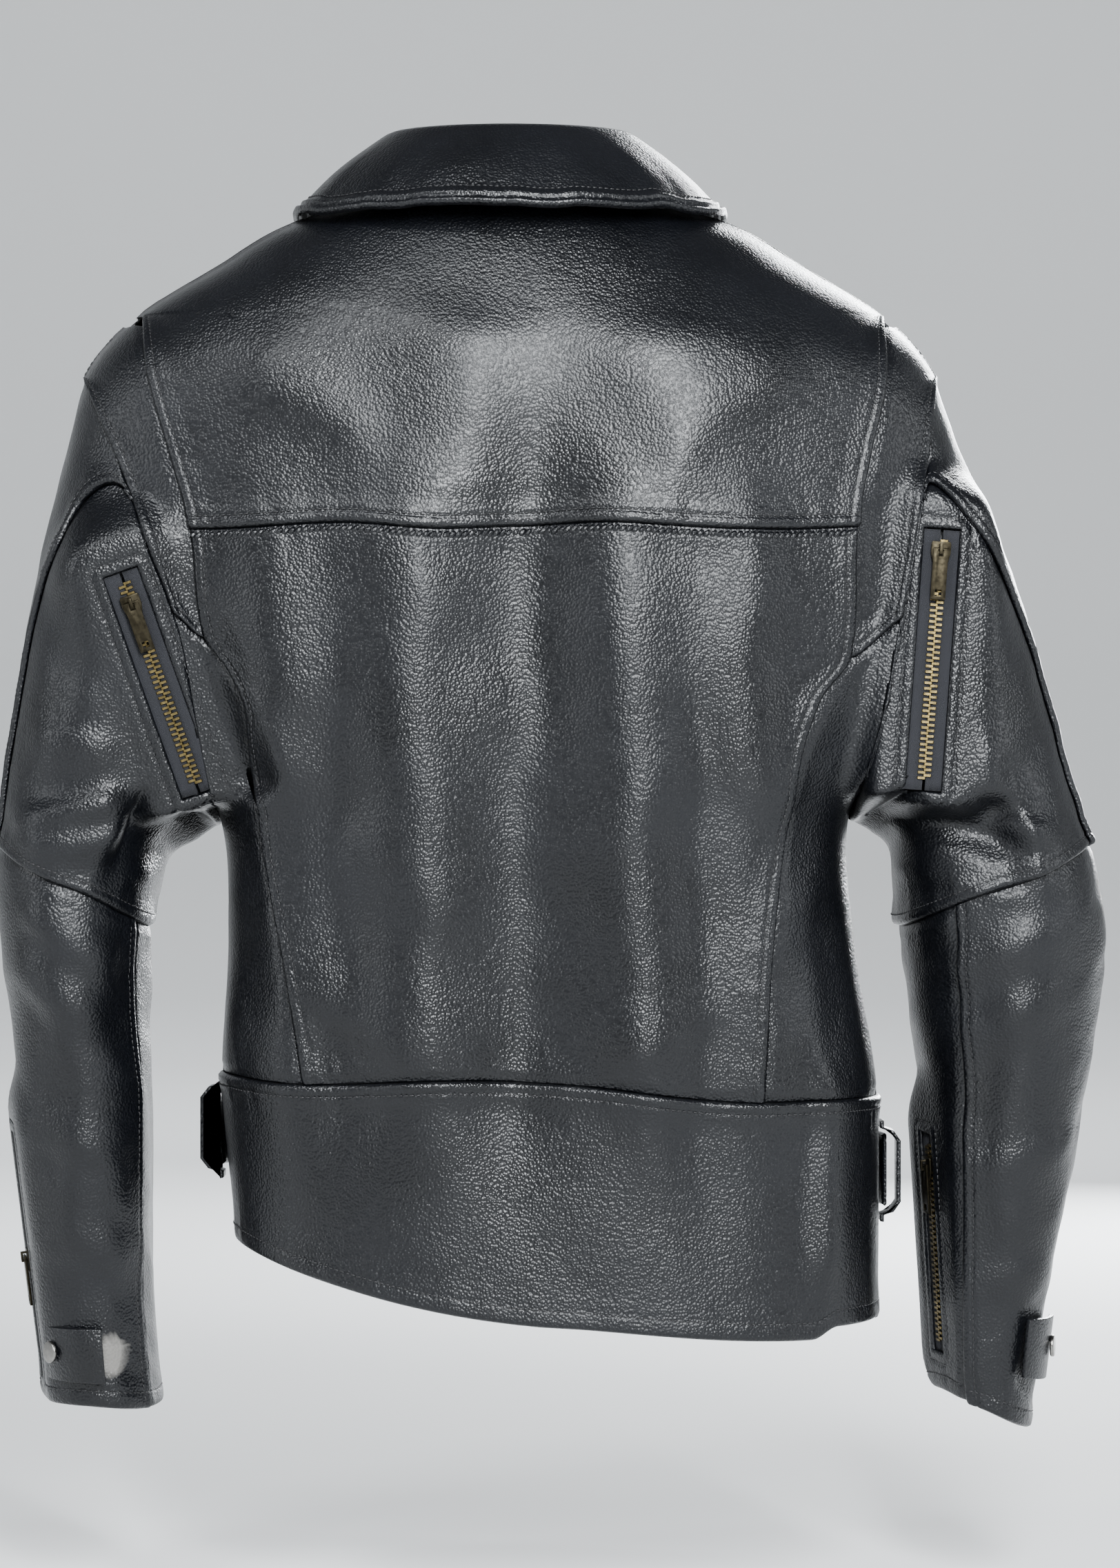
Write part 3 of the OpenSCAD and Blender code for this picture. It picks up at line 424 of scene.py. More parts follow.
SLEEVE_FOLDS = {
    LEFT: [
        [-196, -322, -276, -336, 4.5, 6, 0.35], [-192, -340, -270, -352, 3.6, 6, 0.3],
        [-200, -300, -262, -290, 3.0, 8, 0.2], [-190, -250, -240, -216, 2.6, 10, 0.2],
        [-186, -280, -236, -262, 2.6, 9, 0.2], [-268, -380, -206, -420, 3.2, 9, 0.2],
        [-276, -410, -210, -446, 2.4, 10, 0.2], [-240, -380, -228, -600, 4.0, 11, 0.2],
        [-262, -440, -246, -640, 2.4, 9, 0.0], [-214, -440, -208, -600, 2.0, 8, 0.0],
        [-224, -130, -250, -300, 3.0, 14, 0.2], [-270, -500, -206, -520, 1.6, 8, 0.2],
        [-262, -566, -200, -580, 1.6, 8, 0.2]],
    RIGHT: [
        [208, -330, 306, -346, 4.5, 6, -0.35], [204, -350, 300, -364, 3.6, 6, -0.3],
        [210, -306, 286, -296, 3.0, 8, 0.2], [206, -256, 262, -218, 2.6, 10, 0.2],
        [200, -286, 262, -262, 2.6, 9, 0.2], [304, -388, 226, -424, 3.2, 9, 0.2],
        [310, -424, 232, -452, 2.4, 10, 0.2], [276, -380, 268, -610, 4.0, 12, 0.2],
        [306, -430, 288, -640, 2.4, 9, 0.0], [248, -440, 244, -600, 2.0, 8, 0.0],
        [238, -130, 276, -300, 3.0, 15, 0.2], [312, -510, 236, -530, 1.6, 8, 0.2],
        [300, -580, 238, -592, 1.6, 8, 0.2]]}


# The lining: its depth under the leather in the body and in the sleeves, its thickness and its mesh's density
LINING_DEPTH, SLEEVE_LINING_DEPTH, LINING_T, LINING_DENSITY = 9.8, 8.2, 0.9, 0.8
# how much lower the underarm fold's edge lies on the outer side
SHELF_DROP = {LEFT: 14, RIGHT: 18}


def body_fold(turn, z, face, p):
    """Height of the folds over the body's skin at its points p, fading at the sides and by the armholes."""
    table = BACK_FOLDS if face == BACK else FRONT_FOLDS
    depth = folds(table, p[..., 0], p[..., 2])
    ripple = 0.8 * wander(p[..., 0] + 0.4 * p[..., 2], 11 + face, 46)
    depth = depth + ripple * wander(p[..., 2], 17 + face, 90)
    fade = 1 - ease((np.abs(turn) - 66) / 22)
    gap = armhole_x(RIGHT, z) * (turn > 0) + armhole_x(LEFT, z) * (turn <= 0) - np.abs(p[..., 0] - lean_at(z))
    by_armhole = np.where(z < ARMPIT_Z, 1, ease(gap / 26))
    return depth * fade * by_armhole * ease((-20 - z) / 60)


def sleeve_fold(side, u, b, p):
    """Height of the folds over a sleeve's skin at its points p, with the underarm's overhang."""
    on_back = ease((20 - p[..., 1]) / 40)
    back = folds(SLEEVE_FOLDS[side], p[..., 0], p[..., 2])
    across = b * 0.9
    run = -p[..., 2]
    front = (2.4 * wander(run + 0.3 * across, 5 + side, 34) * bump(run, 350, 90)
             + 1.2 * wander(across + 0.2 * run, 9 + side, 40))
    small = 0.7 * wander(run + 0.5 * across, 21 + side, 22) * wander(across, 27 + side, 40)
    inner = ease((np.abs(b) - (104 if side < 0 else 70)) / 22)
    z = p[..., 2] + SHELF_DROP[side] * np.cos(np.radians(b))
    shelf = np.interp(-z, [225, 285, 306, 316, 321, 327, 346, 378], [0, 8, 12, 11, 3, -20, -19, 0])
    shelf = shelf * inner * on_back * ease((u - 1.2) / 1.2)
    return (mix(front, back, on_back) + small + shelf) * ease(u / 0.6)


class Body:
    """The skin of the jacket's body, by turn and height."""
    deeper = 0.0

    def __init__(self, face):
        self.face, self.nudge = face, (0.3, 0.8)
        self.zips = ("vent_l", "vent_r") if face == BACK else ("main", "hand_l", "hand_r", "chest")

    def bare(self, turn, z):
        return body_pt(turn, z, self.face)

    def middle(self, turn, z):
        return np.stack([lean_at(z) + 0 * turn, 0 * z, z + 0 * turn], -1)

    def fold(self, turn, z, p):
        return body_fold(turn, z, self.face, p)


class Sleeve:
    """The skin of a sleeve, by the place along it and the turn round it."""
    deeper = 0.0

    def __init__(self, side):
        self.side, self.nudge = side, (0.02, 1.0)
        self.zips = ("vent_l", "cuff_l") if side < 0 else ("vent_r", "cuff_r")

    def bare(self, u, b):
        return sleeve_pt(self.side, u, b)

    def middle(self, u, b):
        return (sleeve_pt(self.side, u, 0 * b) + sleeve_pt(self.side, u, 180 + 0 * b)) / 2

    def fold(self, u, b, p):
        return sleeve_fold(self.side, u, b, p)


class SleeveLining(Sleeve):
    """The skin that the sleeve's lining follows: the dents of the leather, and none of its outward folds."""
    deeper = SLEEVE_LINING_DEPTH

    def fold(self, u, b, p):
        dents = [sleeve_fold(self.side, u, b, p + np.array([0, 0, dz])) for dz in (-9, -4.5, 0, 4.5, 9)]
        return np.minimum(np.min(dents, axis=0), 0)


def facing(function, skin, a, b):
    """Unit normals of a surface function, pointing out of the garment."""
    da, db = skin.nudge
    n = unit(np.cross(function(a + da, b) - function(a - da, b), function(a, b + db) - function(a, b - db)))
    away = function(a, b) - skin.middle(a, b)
    return n * np.where((n * away).sum(-1, keepdims=True) < 0, -1, 1)


def hung(skin, a, b):
    """The skin as the leather hangs, folded and brought flat to the zips."""
    p = skin.bare(a, b)
    n = facing(skin.bare, skin, a, b)
    return lifted(p + n * (sizes().fold * skin.fold(a, b, p) - skin.deeper)[..., None], skin.zips,
                  skin.deeper)


SEAM_ROW, HEM_ROW = 6.6, 9.2    # distance of a row of stitches from a seam's edge, and from a hem's

# ---- Edges: height over the skin by the distance from a panel's edge ----
LAP = ([0, 0.6, 2, 5, 6.2, 7.4, 10, 16], [-0.6, 1.0, 2.1, 1.8, 0.7, 1.4, 0.8, 0])
UNDER = ([0, 2, 6], [-1.3, -0.8, 0])
HEM = ([0, 0.8, 2.5, 8, 9.2, 10.4, 14, 22], [-0.9, 0.5, 1.0, 0.8, 0.1, 0.6, 0.3, 0])
FLAT = ([0, 1], [0, 0])
TIGHT = [0, 0.7, 1.5, 2.6, 4, 5.4, 6.3, 7.3, 8.7, 10.5, 13, 16.5]


def stations(length):
    """Places across a panel as shares of its length, close together near its two edges."""
    step = sizes().step / MM
    near = [d for d in TIGHT if d < length * 0.3]
    count = max(2, int(round((length - 2 * near[-1]) / step)))
    inner = np.linspace(near[-1], length - near[-1], count + 1)
    return np.concatenate([near[:-1], inner, length - np.array(near[-2::-1])]) / length


def net(name, columns, rows):
    """A mesh of one flat grid, and each point's column and row."""
    bm = bmesh.new()
    bmesh.ops.create_grid(bm, x_segments=columns - 1, y_segments=rows - 1, size=1.0)
    mesh = bpy.data.meshes.new(name)
    bm.to_mesh(mesh)
    bm.free()
    co = points_of(mesh)
    i = np.rint((co[:, 0] + 1) / 2 * (columns - 1)).astype(int)
    j = np.rint((co[:, 1] + 1) / 2 * (rows - 1)).astype(int)
    return mesh, i, j


def points_of(mesh):
    co = np.empty(len(mesh.vertices) * 3, np.float64)
    mesh.vertices.foreach_get("co", co)
    return co.reshape(-1, 3)


def set_points(mesh, co):
    mesh.vertices.foreach_set("co", np.asarray(co, np.float64).ravel())
    mesh.update()


def new_object(name, mesh, material, smooth=True):
    obj = bpy.data.objects.new(name, mesh)
    bpy.context.scene.collection.objects.link(obj)
    mesh.materials.clear()
    mesh.materials.append(material)
    if smooth:
        mesh.shade_smooth()
    return obj


def path_length(points, axis):
    step = np.linalg.norm(np.diff(points, axis=axis), axis=-1)
    zero = np.zeros_like(np.take(step, [0], axis=axis))
    return np.concatenate([zero, np.cumsum(step, axis=axis)], axis=axis)


class Panel:
    """One piece of leather or lining, as a net of points over the hanging skin."""

    def __init__(self, name, skin, place, edges=(FLAT, FLAT, FLAT, FLAT), depth=0.0, pucker=(0, 0, 0, 0),
                 seed=1, surface=None, density=1.0):
        self.name = name
        surface = surface or (lambda a, b: hung(skin, a, b))
        s, t = np.meshgrid(np.linspace(0, 1, 24), np.linspace(0, 1, 24))
        rough = skin.bare(*place(s, t))
        self.ss = stations(path_length(rough, 1)[:, -1].mean() * density)
        self.tt = stations(path_length(rough, 0)[-1].mean() * density)
        s, t = np.meshgrid(self.ss, self.tt)
        a, b = place(s, t)
        p = surface(a, b)
        n = unit(np.cross(np.gradient(p, axis=1), np.gradient(p, axis=0)))
        away = (n * (p - skin.middle(a, b))).sum(-1, keepdims=True)
        n = n * np.sign(away.mean())
        across, down = path_length(p, 1), path_length(p, 0)
        self.gaps = [across, across[:, -1:] - across, down, down[-1:] - down]
        height = -depth
        for k, (far, profile) in enumerate(zip(self.gaps, edges)):
            height = height + np.interp(far, *profile, right=0)
            along = down if k < 2 else across
            if pucker[k]:
                wave = wander(along, seed * 7 + k, 7.5) * (0.6 + 0.4 * wander(along, seed * 7 + k + 40, 31))
                height = height + pucker[k] * wave * np.interp(far, [1.5, 6, 12, 26], [0, 1, 0.7, 0])
        self.points = p + n * np.broadcast_to(height, p.shape[:2])[..., None]
        across = np.gradient(self.points, axis=1)
        down = np.gradient(self.points, axis=0)
        self.normals = unit(np.cross(across, down))
        self.normals = self.normals * np.sign((self.normals * n).sum(-1).mean())

    def build(self, material, thickness, cut=()):
        """The panel's object, its wall turned inwards, with the openings of the zips in cut."""
        mesh, i, j = net(self.name, len(self.ss), len(self.tt))
        set_points(mesh, self.points[j, i] * MM)
        for zipped in cut:
            open_for(mesh, zipped)
        mid = mesh.polygons[len(mesh.polygons) // 2]
        nearest = np.linalg.norm(self.points * MM - np.array(mid.center), axis=-1).argmin()
        if np.dot(self.normals.reshape(-1, 3)[nearest], np.array(mid.normal)) < 0:
            mesh.flip_normals()
        obj = new_object(self.name, mesh, material)
        wall = obj.modifiers.new("wall", "SOLIDIFY")
        wall.thickness = thickness * MM
        wall.offset = -1.0
        wall.use_rim = True
        return obj

    def line(self, edge, distance, margin=4.0):
        """Points and normals at a distance from an edge: 0 left, 1 right, 2 top, 3 foot."""
        gaps = np.broadcast_to(self.gaps[edge], self.points.shape[:2])
        if edge < 2:
            gaps, pts, nrm = gaps, self.points, self.normals
        else:
            gaps, pts, nrm = gaps.T, self.points.transpose(1, 0, 2), self.normals.transpose(1, 0, 2)
        if edge in (1, 3):
            gaps, pts, nrm = gaps[:, ::-1], pts[:, ::-1], nrm[:, ::-1]
        out_p, out_n = [], []
        for g, p, n in zip(gaps, pts, nrm):
            k = min(max(np.searchsorted(g, distance), 1), len(g) - 1)
            f = (distance - g[k - 1]) / max(g[k] - g[k - 1], 1e-6)
            out_p.append(mix(p[k - 1], p[k], f))
            out_n.append(mix(n[k - 1], n[k], f))
        return trimmed(np.array(out_p), unit(np.array(out_n)), margin)


def trimmed(points, normals, margin):
    """The part of a line that is more than margin from its two ends."""
    run = path_length(points, 0)
    keep = (run > margin) & (run < run[-1] - margin)
    return points[keep], normals[keep]


LIP_CUTS = [0, 0.5, 1.2, 2.2, 4, 5.4, 6.3, 7.3, 9]
LIP = ([0, 0.5, 1.2, 2.2, 4, 5.4, 6.3, 7.3, 9, 14], [-0.9, 0.1, 0.5, 0.7, 0.5, 0.1, -0.2, 0.1, 0.3, 0])


def open_for(mesh, zipped):
    """Cuts the opening of a zip into a panel and rolls the leather's edge round it."""
    length = zipped.length
    planes = []
    for d in LIP_CUTS:
        planes += [((0, zipped.lip + d, 0), zipped.side), ((0, -zipped.lip - d, 0), zipped.side),
                   ((-LIP_END - d, 0, 0), zipped.way), ((length + LIP_END + d, 0, 0), zipped.way)]
    centres = np.empty(len(mesh.polygons) * 3)
    mesh.polygons.foreach_get("center", centres)
    q = zipped.local(centres.reshape(-1, 3) / MM)
    chosen = np.flatnonzero((off_rectangle(q, zipped) < 17) & (np.abs(q[:, 2]) < 16))
    bm = bmesh.new()
    bm.from_mesh(mesh)
    bm.faces.ensure_lookup_table()
    faces = [bm.faces[k] for k in chosen]
    geom = list({v for f in faces for v in f.verts}) + list({e for f in faces for e in f.edges}) + faces
    for at, axis in planes:
        geom = bmesh.ops.bisect_plane(bm, geom=geom, dist=1e-6,
                                      plane_co=Vector(zipped.world(np.array(at)) * MM),
                                      plane_no=Vector(axis))["geom"]
    faces = [f for f in geom if isinstance(f, bmesh.types.BMFace)]
    q = zipped.local(np.array([f.calc_center_median() for f in faces]) / MM)
    gone = [f for f, d in zip(faces, off_rectangle(q, zipped)) if d < 0]
    bmesh.ops.delete(bm, geom=gone, context="FACES")
    bm.to_mesh(mesh)
    bm.free()
    co = points_of(mesh) / MM
    q = zipped.local(co)
    d = off_rectangle(q, zipped)
    height = np.where((d < 14) & (np.abs(q[:, 2]) < 20), np.interp(d, *LIP), 0)
    set_points(mesh, (co + zipped.out * height[:, None]) * MM)


# ---- Materials ----

def linear(code):
    """Linear RGBA of an sRGB hex colour."""
    parts = [int(code[k:k + 2], 16) / 255 for k in (1, 3, 5)]
    return [c / 12.92 if c <= 0.04045 else ((c + 0.055) / 1.055) ** 2.4 for c in parts] + [1.0]


def add_node(tree, kind, settings=(), **links):
    """A node with its settings, its inputs set or linked by name, or by number as i0, i1 and so on."""
    node = tree.nodes.new(kind)
    for key, value in dict(settings).items():
        setattr(node, key, value)
    for key, value in links.items():
        socket = node.inputs[int(key[1:]) if key[1:].isdigit() else key.replace("_", " ")]
        if isinstance(value, bpy.types.NodeSocket):
            tree.links.new(value, socket)
        else:
            socket.default_value = value
    return node


def ramp(tree, value, stops):
    node = add_node(tree, "ShaderNodeValToRGB", Fac=value)
    for k, (place, shade) in enumerate(stops):
        stop = node.color_ramp.elements[k] if k < 2 else node.color_ramp.elements.new(place)
        stop.position = place
        stop.color = shade if hasattr(shade, "__len__") else (shade, shade, shade, 1)
    return node.outputs["Color"]


def new_material(name, **values):
    mat = bpy.data.materials.new(name)
    mat.use_nodes = True
    tree = mat.node_tree
    shader = tree.nodes["Principled BSDF"]
    for key, value in values.items():
        shader.inputs[key.replace("_", " ")].default_value = value
    return mat, tree, shader


SCUFF_PLACE, SCUFF_COLOUR = (-0.2195, -0.019, -0.629), "#6E6C68"    # the bare spot beside the left cuff's tab


def leather_material(name, worn=False, shine=0.0):
    """Black grained cowhide with a soft wax finish."""
    mat, tree, shader = new_material(name, IOR=1.5, Specular_IOR_Level=0.32, Coat_Roughness=0.3,
                                     Coat_Weight=0.04 + shine)
    base = linear(colours().leather)
    place = add_node(tree, "ShaderNodeTexCoord").outputs["Object"]
    grain_scale = 1 / sizes().grain
    cells = add_node(tree, "ShaderNodeTexVoronoi", {"feature": "SMOOTH_F1"}, Vector=place, Scale=grain_scale,
                     Smoothness=0.35)
    pebble = add_node(tree, "ShaderNodeMapRange", Value=cells.outputs["Distance"], To_Min=1.0, To_Max=0.0)
    pore = add_node(tree, "ShaderNodeTexNoise", Vector=place, Scale=grain_scale * 2.6, Detail=3.0,
                    Roughness=0.6)
    crease = add_node(tree, "ShaderNodeTexNoise", Vector=place, Scale=70.0, Detail=3.0, Roughness=0.55,
                      Distortion=0.8)
    patch = add_node(tree, "ShaderNodeTexNoise", Vector=place, Scale=14.0, Detail=4.0, Roughness=0.6)
    colour = ramp(tree, patch.outputs["Fac"], [(0.3, [c * 0.72 for c in base[:3]] + [1]),
                                               (0.72, [c * 1.45 for c in base[:3]] + [1])])
    rough = add_node(tree, "ShaderNodeMapRange", Value=patch.outputs["Fac"], From_Min=0.3, From_Max=0.75,
                     To_Min=0.29, To_Max=0.43)
    if worn:
        spot = add_node(tree, "ShaderNodeMapping", Vector=place)
        spot.inputs["Location"].default_value = [-c for c in SCUFF_PLACE]
        off = add_node(tree, "ShaderNodeVectorMath", {"operation": "LENGTH"}, i0=spot.outputs["Vector"])
        spread = add_node(tree, "ShaderNodeMath", {"operation": "MULTIPLY_ADD"}, i0=crease.outputs["Fac"],
                          i1=0.016, i2=off.outputs["Value"])
        mask = add_node(tree, "ShaderNodeMapRange", Value=spread.outputs["Value"], From_Min=0.022,
                        From_Max=0.017)
        colour = add_node(tree, "ShaderNodeMix", {"data_type": "RGBA"}, i0=mask.outputs["Result"], i6=colour,
                          i7=linear(SCUFF_COLOUR)).outputs[2]
    tree.links.new(colour, shader.inputs["Base Color"])
    tree.links.new(rough.outputs["Result"], shader.inputs["Roughness"])
    low = add_node(tree, "ShaderNodeBump", Strength=0.28, Distance=0.0016, Height=crease.outputs["Fac"])
    mid = add_node(tree, "ShaderNodeBump", Strength=0.72, Distance=0.00055, Height=pebble.outputs["Result"],
                   Normal=low.outputs["Normal"])
    top = add_node(tree, "ShaderNodeBump", Strength=0.25, Distance=0.0001, Height=pore.outputs["Fac"],
                   Normal=mid.outputs["Normal"])
    tree.links.new(top.outputs["Normal"], shader.inputs["Normal"])
    return mat


def weave_material(name, code, pitch, roughness, strength):
    """Woven cloth with a fine diagonal rib."""
    mat, tree, shader = new_material(name, Base_Color=linear(code), Roughness=roughness, IOR=1.46,
                                     Sheen_Weight=0.25)
    place = add_node(tree, "ShaderNodeTexCoord").outputs["Object"]
    rib = add_node(tree, "ShaderNodeTexWave", {"bands_direction": "DIAGONAL"}, Vector=place,
                   Scale=0.31 / pitch, Distortion=1.2, Detail=2.0)
    bump = add_node(tree, "ShaderNodeBump", Strength=strength, Distance=0.0002, Height=rib.outputs["Fac"])
    tree.links.new(bump.outputs["Normal"], shader.inputs["Normal"])
    return mat


def metal_material(name, code, roughness, patina):
    """Cast or plated metal, darkened in patches."""
    mat, tree, shader = new_material(name, Metallic=1.0)
    place = add_node(tree, "ShaderNodeTexCoord").outputs["Object"]
    spots = add_node(tree, "ShaderNodeTexNoise", Vector=place, Scale=420.0, Detail=4.0)
    base = linear(code)
    tone = ramp(tree, spots.outputs["Fac"], [(0.32, [c * patina for c in base[:3]] + [1]), (0.66, base)])
    tree.links.new(tone, shader.inputs["Base Color"])
    rough = add_node(tree, "ShaderNodeMapRange", Value=spots.outputs["Fac"], To_Min=roughness + 0.14,
                     To_Max=roughness - 0.06)
    tree.links.new(rough.outputs["Result"], shader.inputs["Roughness"])
    return mat


def tape_material():
    """Herringbone zip tape of matt cotton, its ribs along the tape's own UV in millimetres."""
    mat, tree, shader = new_material("zip_tape_cotton", Roughness=0.85, IOR=1.46)
    uv = add_node(tree, "ShaderNodeUVMap", {"uv_map": "UVMap"}).outputs["UV"]
    apart = add_node(tree, "ShaderNodeSeparateXYZ", Vector=uv)
    zigzag = add_node(tree, "ShaderNodeMath", {"operation": "PINGPONG"}, i0=apart.outputs["Y"], i1=1.6)
    slant = add_node(tree, "ShaderNodeMath", {"operation": "ADD"}, i0=apart.outputs["X"],
                     i1=zigzag.outputs["Value"])
    rows = add_node(tree, "ShaderNodeMath", {"operation": "PINGPONG"}, i0=slant.outputs["Value"], i1=0.4)
    base = linear(colours().tape)
    scaled = add_node(tree, "ShaderNodeMath", {"operation": "DIVIDE"}, i0=rows.outputs["Value"], i1=0.4)
    tone = ramp(tree, scaled.outputs["Value"], [(0.15, [c * 0.5 for c in base[:3]] + [1]),
                                                (0.8, [c * 1.6 for c in base[:3]] + [1])])
    tree.links.new(tone, shader.inputs["Base Color"])
    bump = add_node(tree, "ShaderNodeBump", Strength=0.8, Distance=0.0002, Height=scaled.outputs["Value"])
    tree.links.new(bump.outputs["Normal"], shader.inputs["Normal"])
    return mat


MATERIALS = {}


def make_materials():
    c = colours()
    MATERIALS["leather"] = leather_material("black_leather")
    MATERIALS["leather_worn"] = leather_material("black_leather_worn", worn=True)
    MATERIALS["grained"] = leather_material("black_leather_grained", shine=0.05)
    MATERIALS["lining"] = weave_material("black_twill_lining", c.lining, 0.001, 0.62, 0.4)
    MATERIALS["tape"] = tape_material()
    MATERIALS["thread"] = new_material("waxed_black_thread", Base_Color=linear(c.thread), Roughness=0.5,
                                       IOR=1.5)[0]
    MATERIALS["teeth"] = metal_material("aged_brass_teeth", c.teeth, 0.38, 0.45)
    MATERIALS["slider"] = metal_material("aged_brass_slider", c.slider, 0.4, 0.4)
    MATERIALS["nickel"] = metal_material("polished_nickel", c.nickel, 0.2, 0.75)


# ---- Small shapes repeated along lines ----

def copies(mesh, count):
    """A mesh with the given mesh in it count times."""
    bm = bmesh.new()
    for bit in bin(count)[2:]:
        so_far = bpy.data.meshes.new("so_far")
        bm.to_mesh(so_far)
        bm.from_mesh(so_far)
        bpy.data.meshes.remove(so_far)
        if bit == "1":
            bm.from_mesh(mesh)
    out = bpy.data.meshes.new(mesh.name + "_row")
    bm.to_mesh(out)
    bm.free()
    return out


def spaced(points, normals, pitch):
    """Points, directions and normals at an even pitch along a line."""
    run = path_length(points, 0)
    count = int(run[-1] // pitch)
    if count < 1:
        return np.zeros((0, 3)), np.zeros((0, 3)), np.zeros((0, 3))
    at = (np.arange(count) + 0.5) * run[-1] / count
    p = np.stack([np.interp(at, run, points[:, k]) for k in range(3)], -1)
    q = np.stack([np.interp(at + 0.3, run, points[:, k]) for k in range(3)], -1)
    r = np.stack([np.interp(at - 0.3, run, points[:, k]) for k in range(3)], -1)
    n = np.stack([np.interp(at, run, normals[:, k]) for k in range(3)], -1)
    return p, unit(q - r), unit(n)


def stamped(name, template, rows, material):
    """The template at every place of rows: points, directions of its x and normals for its z."""
    p, x, z = [np.concatenate(part) for part in zip(*rows)]
    y = unit(np.cross(z, x))
    z = np.cross(x, y)
    local = points_of(template)
    mesh = copies(template, len(p))
    mesh.name = name
    world = (p[:, None] + local[None, :, :1] * x[:, None] + local[None, :, 1:2] * y[:, None]
             + local[None, :, 2:] * z[:, None])
    set_points(mesh, world.reshape(-1, 3) * MM)
    return new_object(name, mesh, material)


def stitch_shape():
    """One stitch, a short capsule of thread in millimetres."""
    bm = bmesh.new()
    bmesh.ops.create_uvsphere(bm, u_segments=6, v_segments=4, radius=0.5)
    d, half = sizes().thread_d / MM, sizes().stitch_pitch / MM * 0.40
    for v in bm.verts:
        x, y, z = v.co
        v.co = (z * 2 * half, y * d, x * d)
    bmesh.ops.recalc_face_normals(bm, faces=bm.faces)
    mesh = bpy.data.meshes.new("stitch")
    bm.to_mesh(mesh)
    bm.free()
    return mesh


STITCHED = {}


def sew(group, *lines):
    """Keeps lines to be stitched, by the piece of stitching that they belong to."""
    STITCHED.setdefault(group, []).extend(line for line in lines if len(line[0]) > 1)


def tube(name, lines, radius, material, rings=2):
    """Round cords through lines of points."""
    curve = bpy.data.curves.new(name, "CURVE")
    curve.dimensions = "3D"
    curve.bevel_depth = radius * MM
    curve.bevel_resolution = rings
    curve.use_fill_caps = True
    for line in lines:
        spline = curve.splines.new("POLY")
        spline.points.add(len(line) - 1)
        flat = np.concatenate([np.asarray(line) * MM, np.ones((len(line), 1))], 1)
        spline.points.foreach_set("co", flat.ravel())
    obj = bpy.data.objects.new(name, curve)
    bpy.context.scene.collection.objects.link(obj)
    mesh = bpy.data.meshes.new_from_object(obj.evaluated_get(bpy.context.evaluated_depsgraph_get()))
    bpy.data.objects.remove(obj)
    mesh.name = name
    return new_object(name, mesh, material)


# ---- Hardware from the frame's own solids, with softened edges ----

def refined(name, nodes, material, body, bevel=0.0004, segments=2, limit=30):
    """A merged, bevelled copy of CAD solids, in their place."""
    bm = bmesh.new()
    for node in nodes:
        copy = frame["nodes"][node].data.copy()
        copy.transform(frame["nodes"][node].matrix_world)
        bm.from_mesh(copy)
        bpy.data.meshes.remove(copy)
    bmesh.ops.remove_doubles(bm, verts=bm.verts, dist=2e-6)
    bmesh.ops.dissolve_limit(bm, angle_limit=math.radians(1.5), verts=bm.verts, edges=bm.edges)
    sharp = [e for e in bm.edges if len(e.link_faces) == 2 and e.calc_face_angle(0) > math.radians(limit)]
    bmesh.ops.bevel(bm, geom=sharp, offset=bevel, offset_type="OFFSET", segments=segments, profile=0.5,
                    affect="EDGES", material=-1, clamp_overlap=True)
    mesh = bpy.data.meshes.new(name)
    bm.to_mesh(mesh)
    bm.free()
    obj = new_object(name, mesh, material)
    mesh.set_sharp_from_angle(angle=math.radians(38))
    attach(obj, body)
    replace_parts(obj, *nodes)
    return obj


def on_elbow(obj, side):
    """Bakes the transform of a piece of a sleeve into its mesh, without bending it at the elbow."""
    pivot = Vector([j for j in frame["joints"] if j["name"] == "elbow_" + SIDE_NAME[side]][0]["pos_m"])
    start, end = pivot.copy(), pivot.copy()
    start.z, end.z = ELBOW_BEND_TOP, ELBOW_BEND_FOOT
    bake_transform(obj)
    return obj


def settle(obj, slot, *nodes, side=0):
    """Rides on the jacket, or has a sleeve piece's transform baked into its mesh, and takes the CAD nodes'
    place.
    """
    if side:
        on_elbow(obj, side)
    else:
        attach(obj, JACKET)
    if nodes:
        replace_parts(obj, *nodes)
    return obj


def leather(panel, slot, *nodes, side=0, material="leather", thickness=None, cut=()):
    thickness = thickness or sizes().leather_t / MM
    return settle(panel.build(MATERIALS[material], thickness, [ZIPS[k] for k in cut]), slot, *nodes,
                  side=side)


# ---- The skins, and places on them from a panel's four edges ----
BACK_SKIN, FRONT_SKIN = Body(BACK), Body(FRONT)
SLEEVES = {LEFT: Sleeve(LEFT), RIGHT: Sleeve(RIGHT)}


def body_place(upper, lower, left, right):
    """Turn and height of a body panel's points between its four edges."""
    def place(s, t):
        top = mix(left(upper(0 * s)), right(upper(0 * s)), s)
        foot = mix(left(lower(top)), right(lower(top)), s)
        z = mix(upper(top), lower(foot), t)
        turn = mix(left(z), right(z), s)
        z = mix(upper(turn), lower(turn), t)
        return turn, z
    return place


def flat_z(z):
    return lambda turn: z + 0 * np.asarray(turn, float)


# ---- The back ----

def back_yoke():
    panel = Panel("back_yoke_leather", BACK_SKIN,
                  body_place(flat_z(-3), yoke_seam, lambda z: -seam_turn(LEFT, z),
                             lambda z: seam_turn(RIGHT, z)),
                  (LAP, LAP, FLAT, LAP), pucker=(0.25, 0.25, 0, 0.45), seed=3)
    leather(panel, "leather_grained", "back_yoke", material="grained")
    sew("stitching_body", panel.line(3, 7.0), panel.line(0, SEAM_ROW), panel.line(1, SEAM_ROW))
    line, normal = panel.line(3, 0.0, margin=0)
    braid(line, normal)


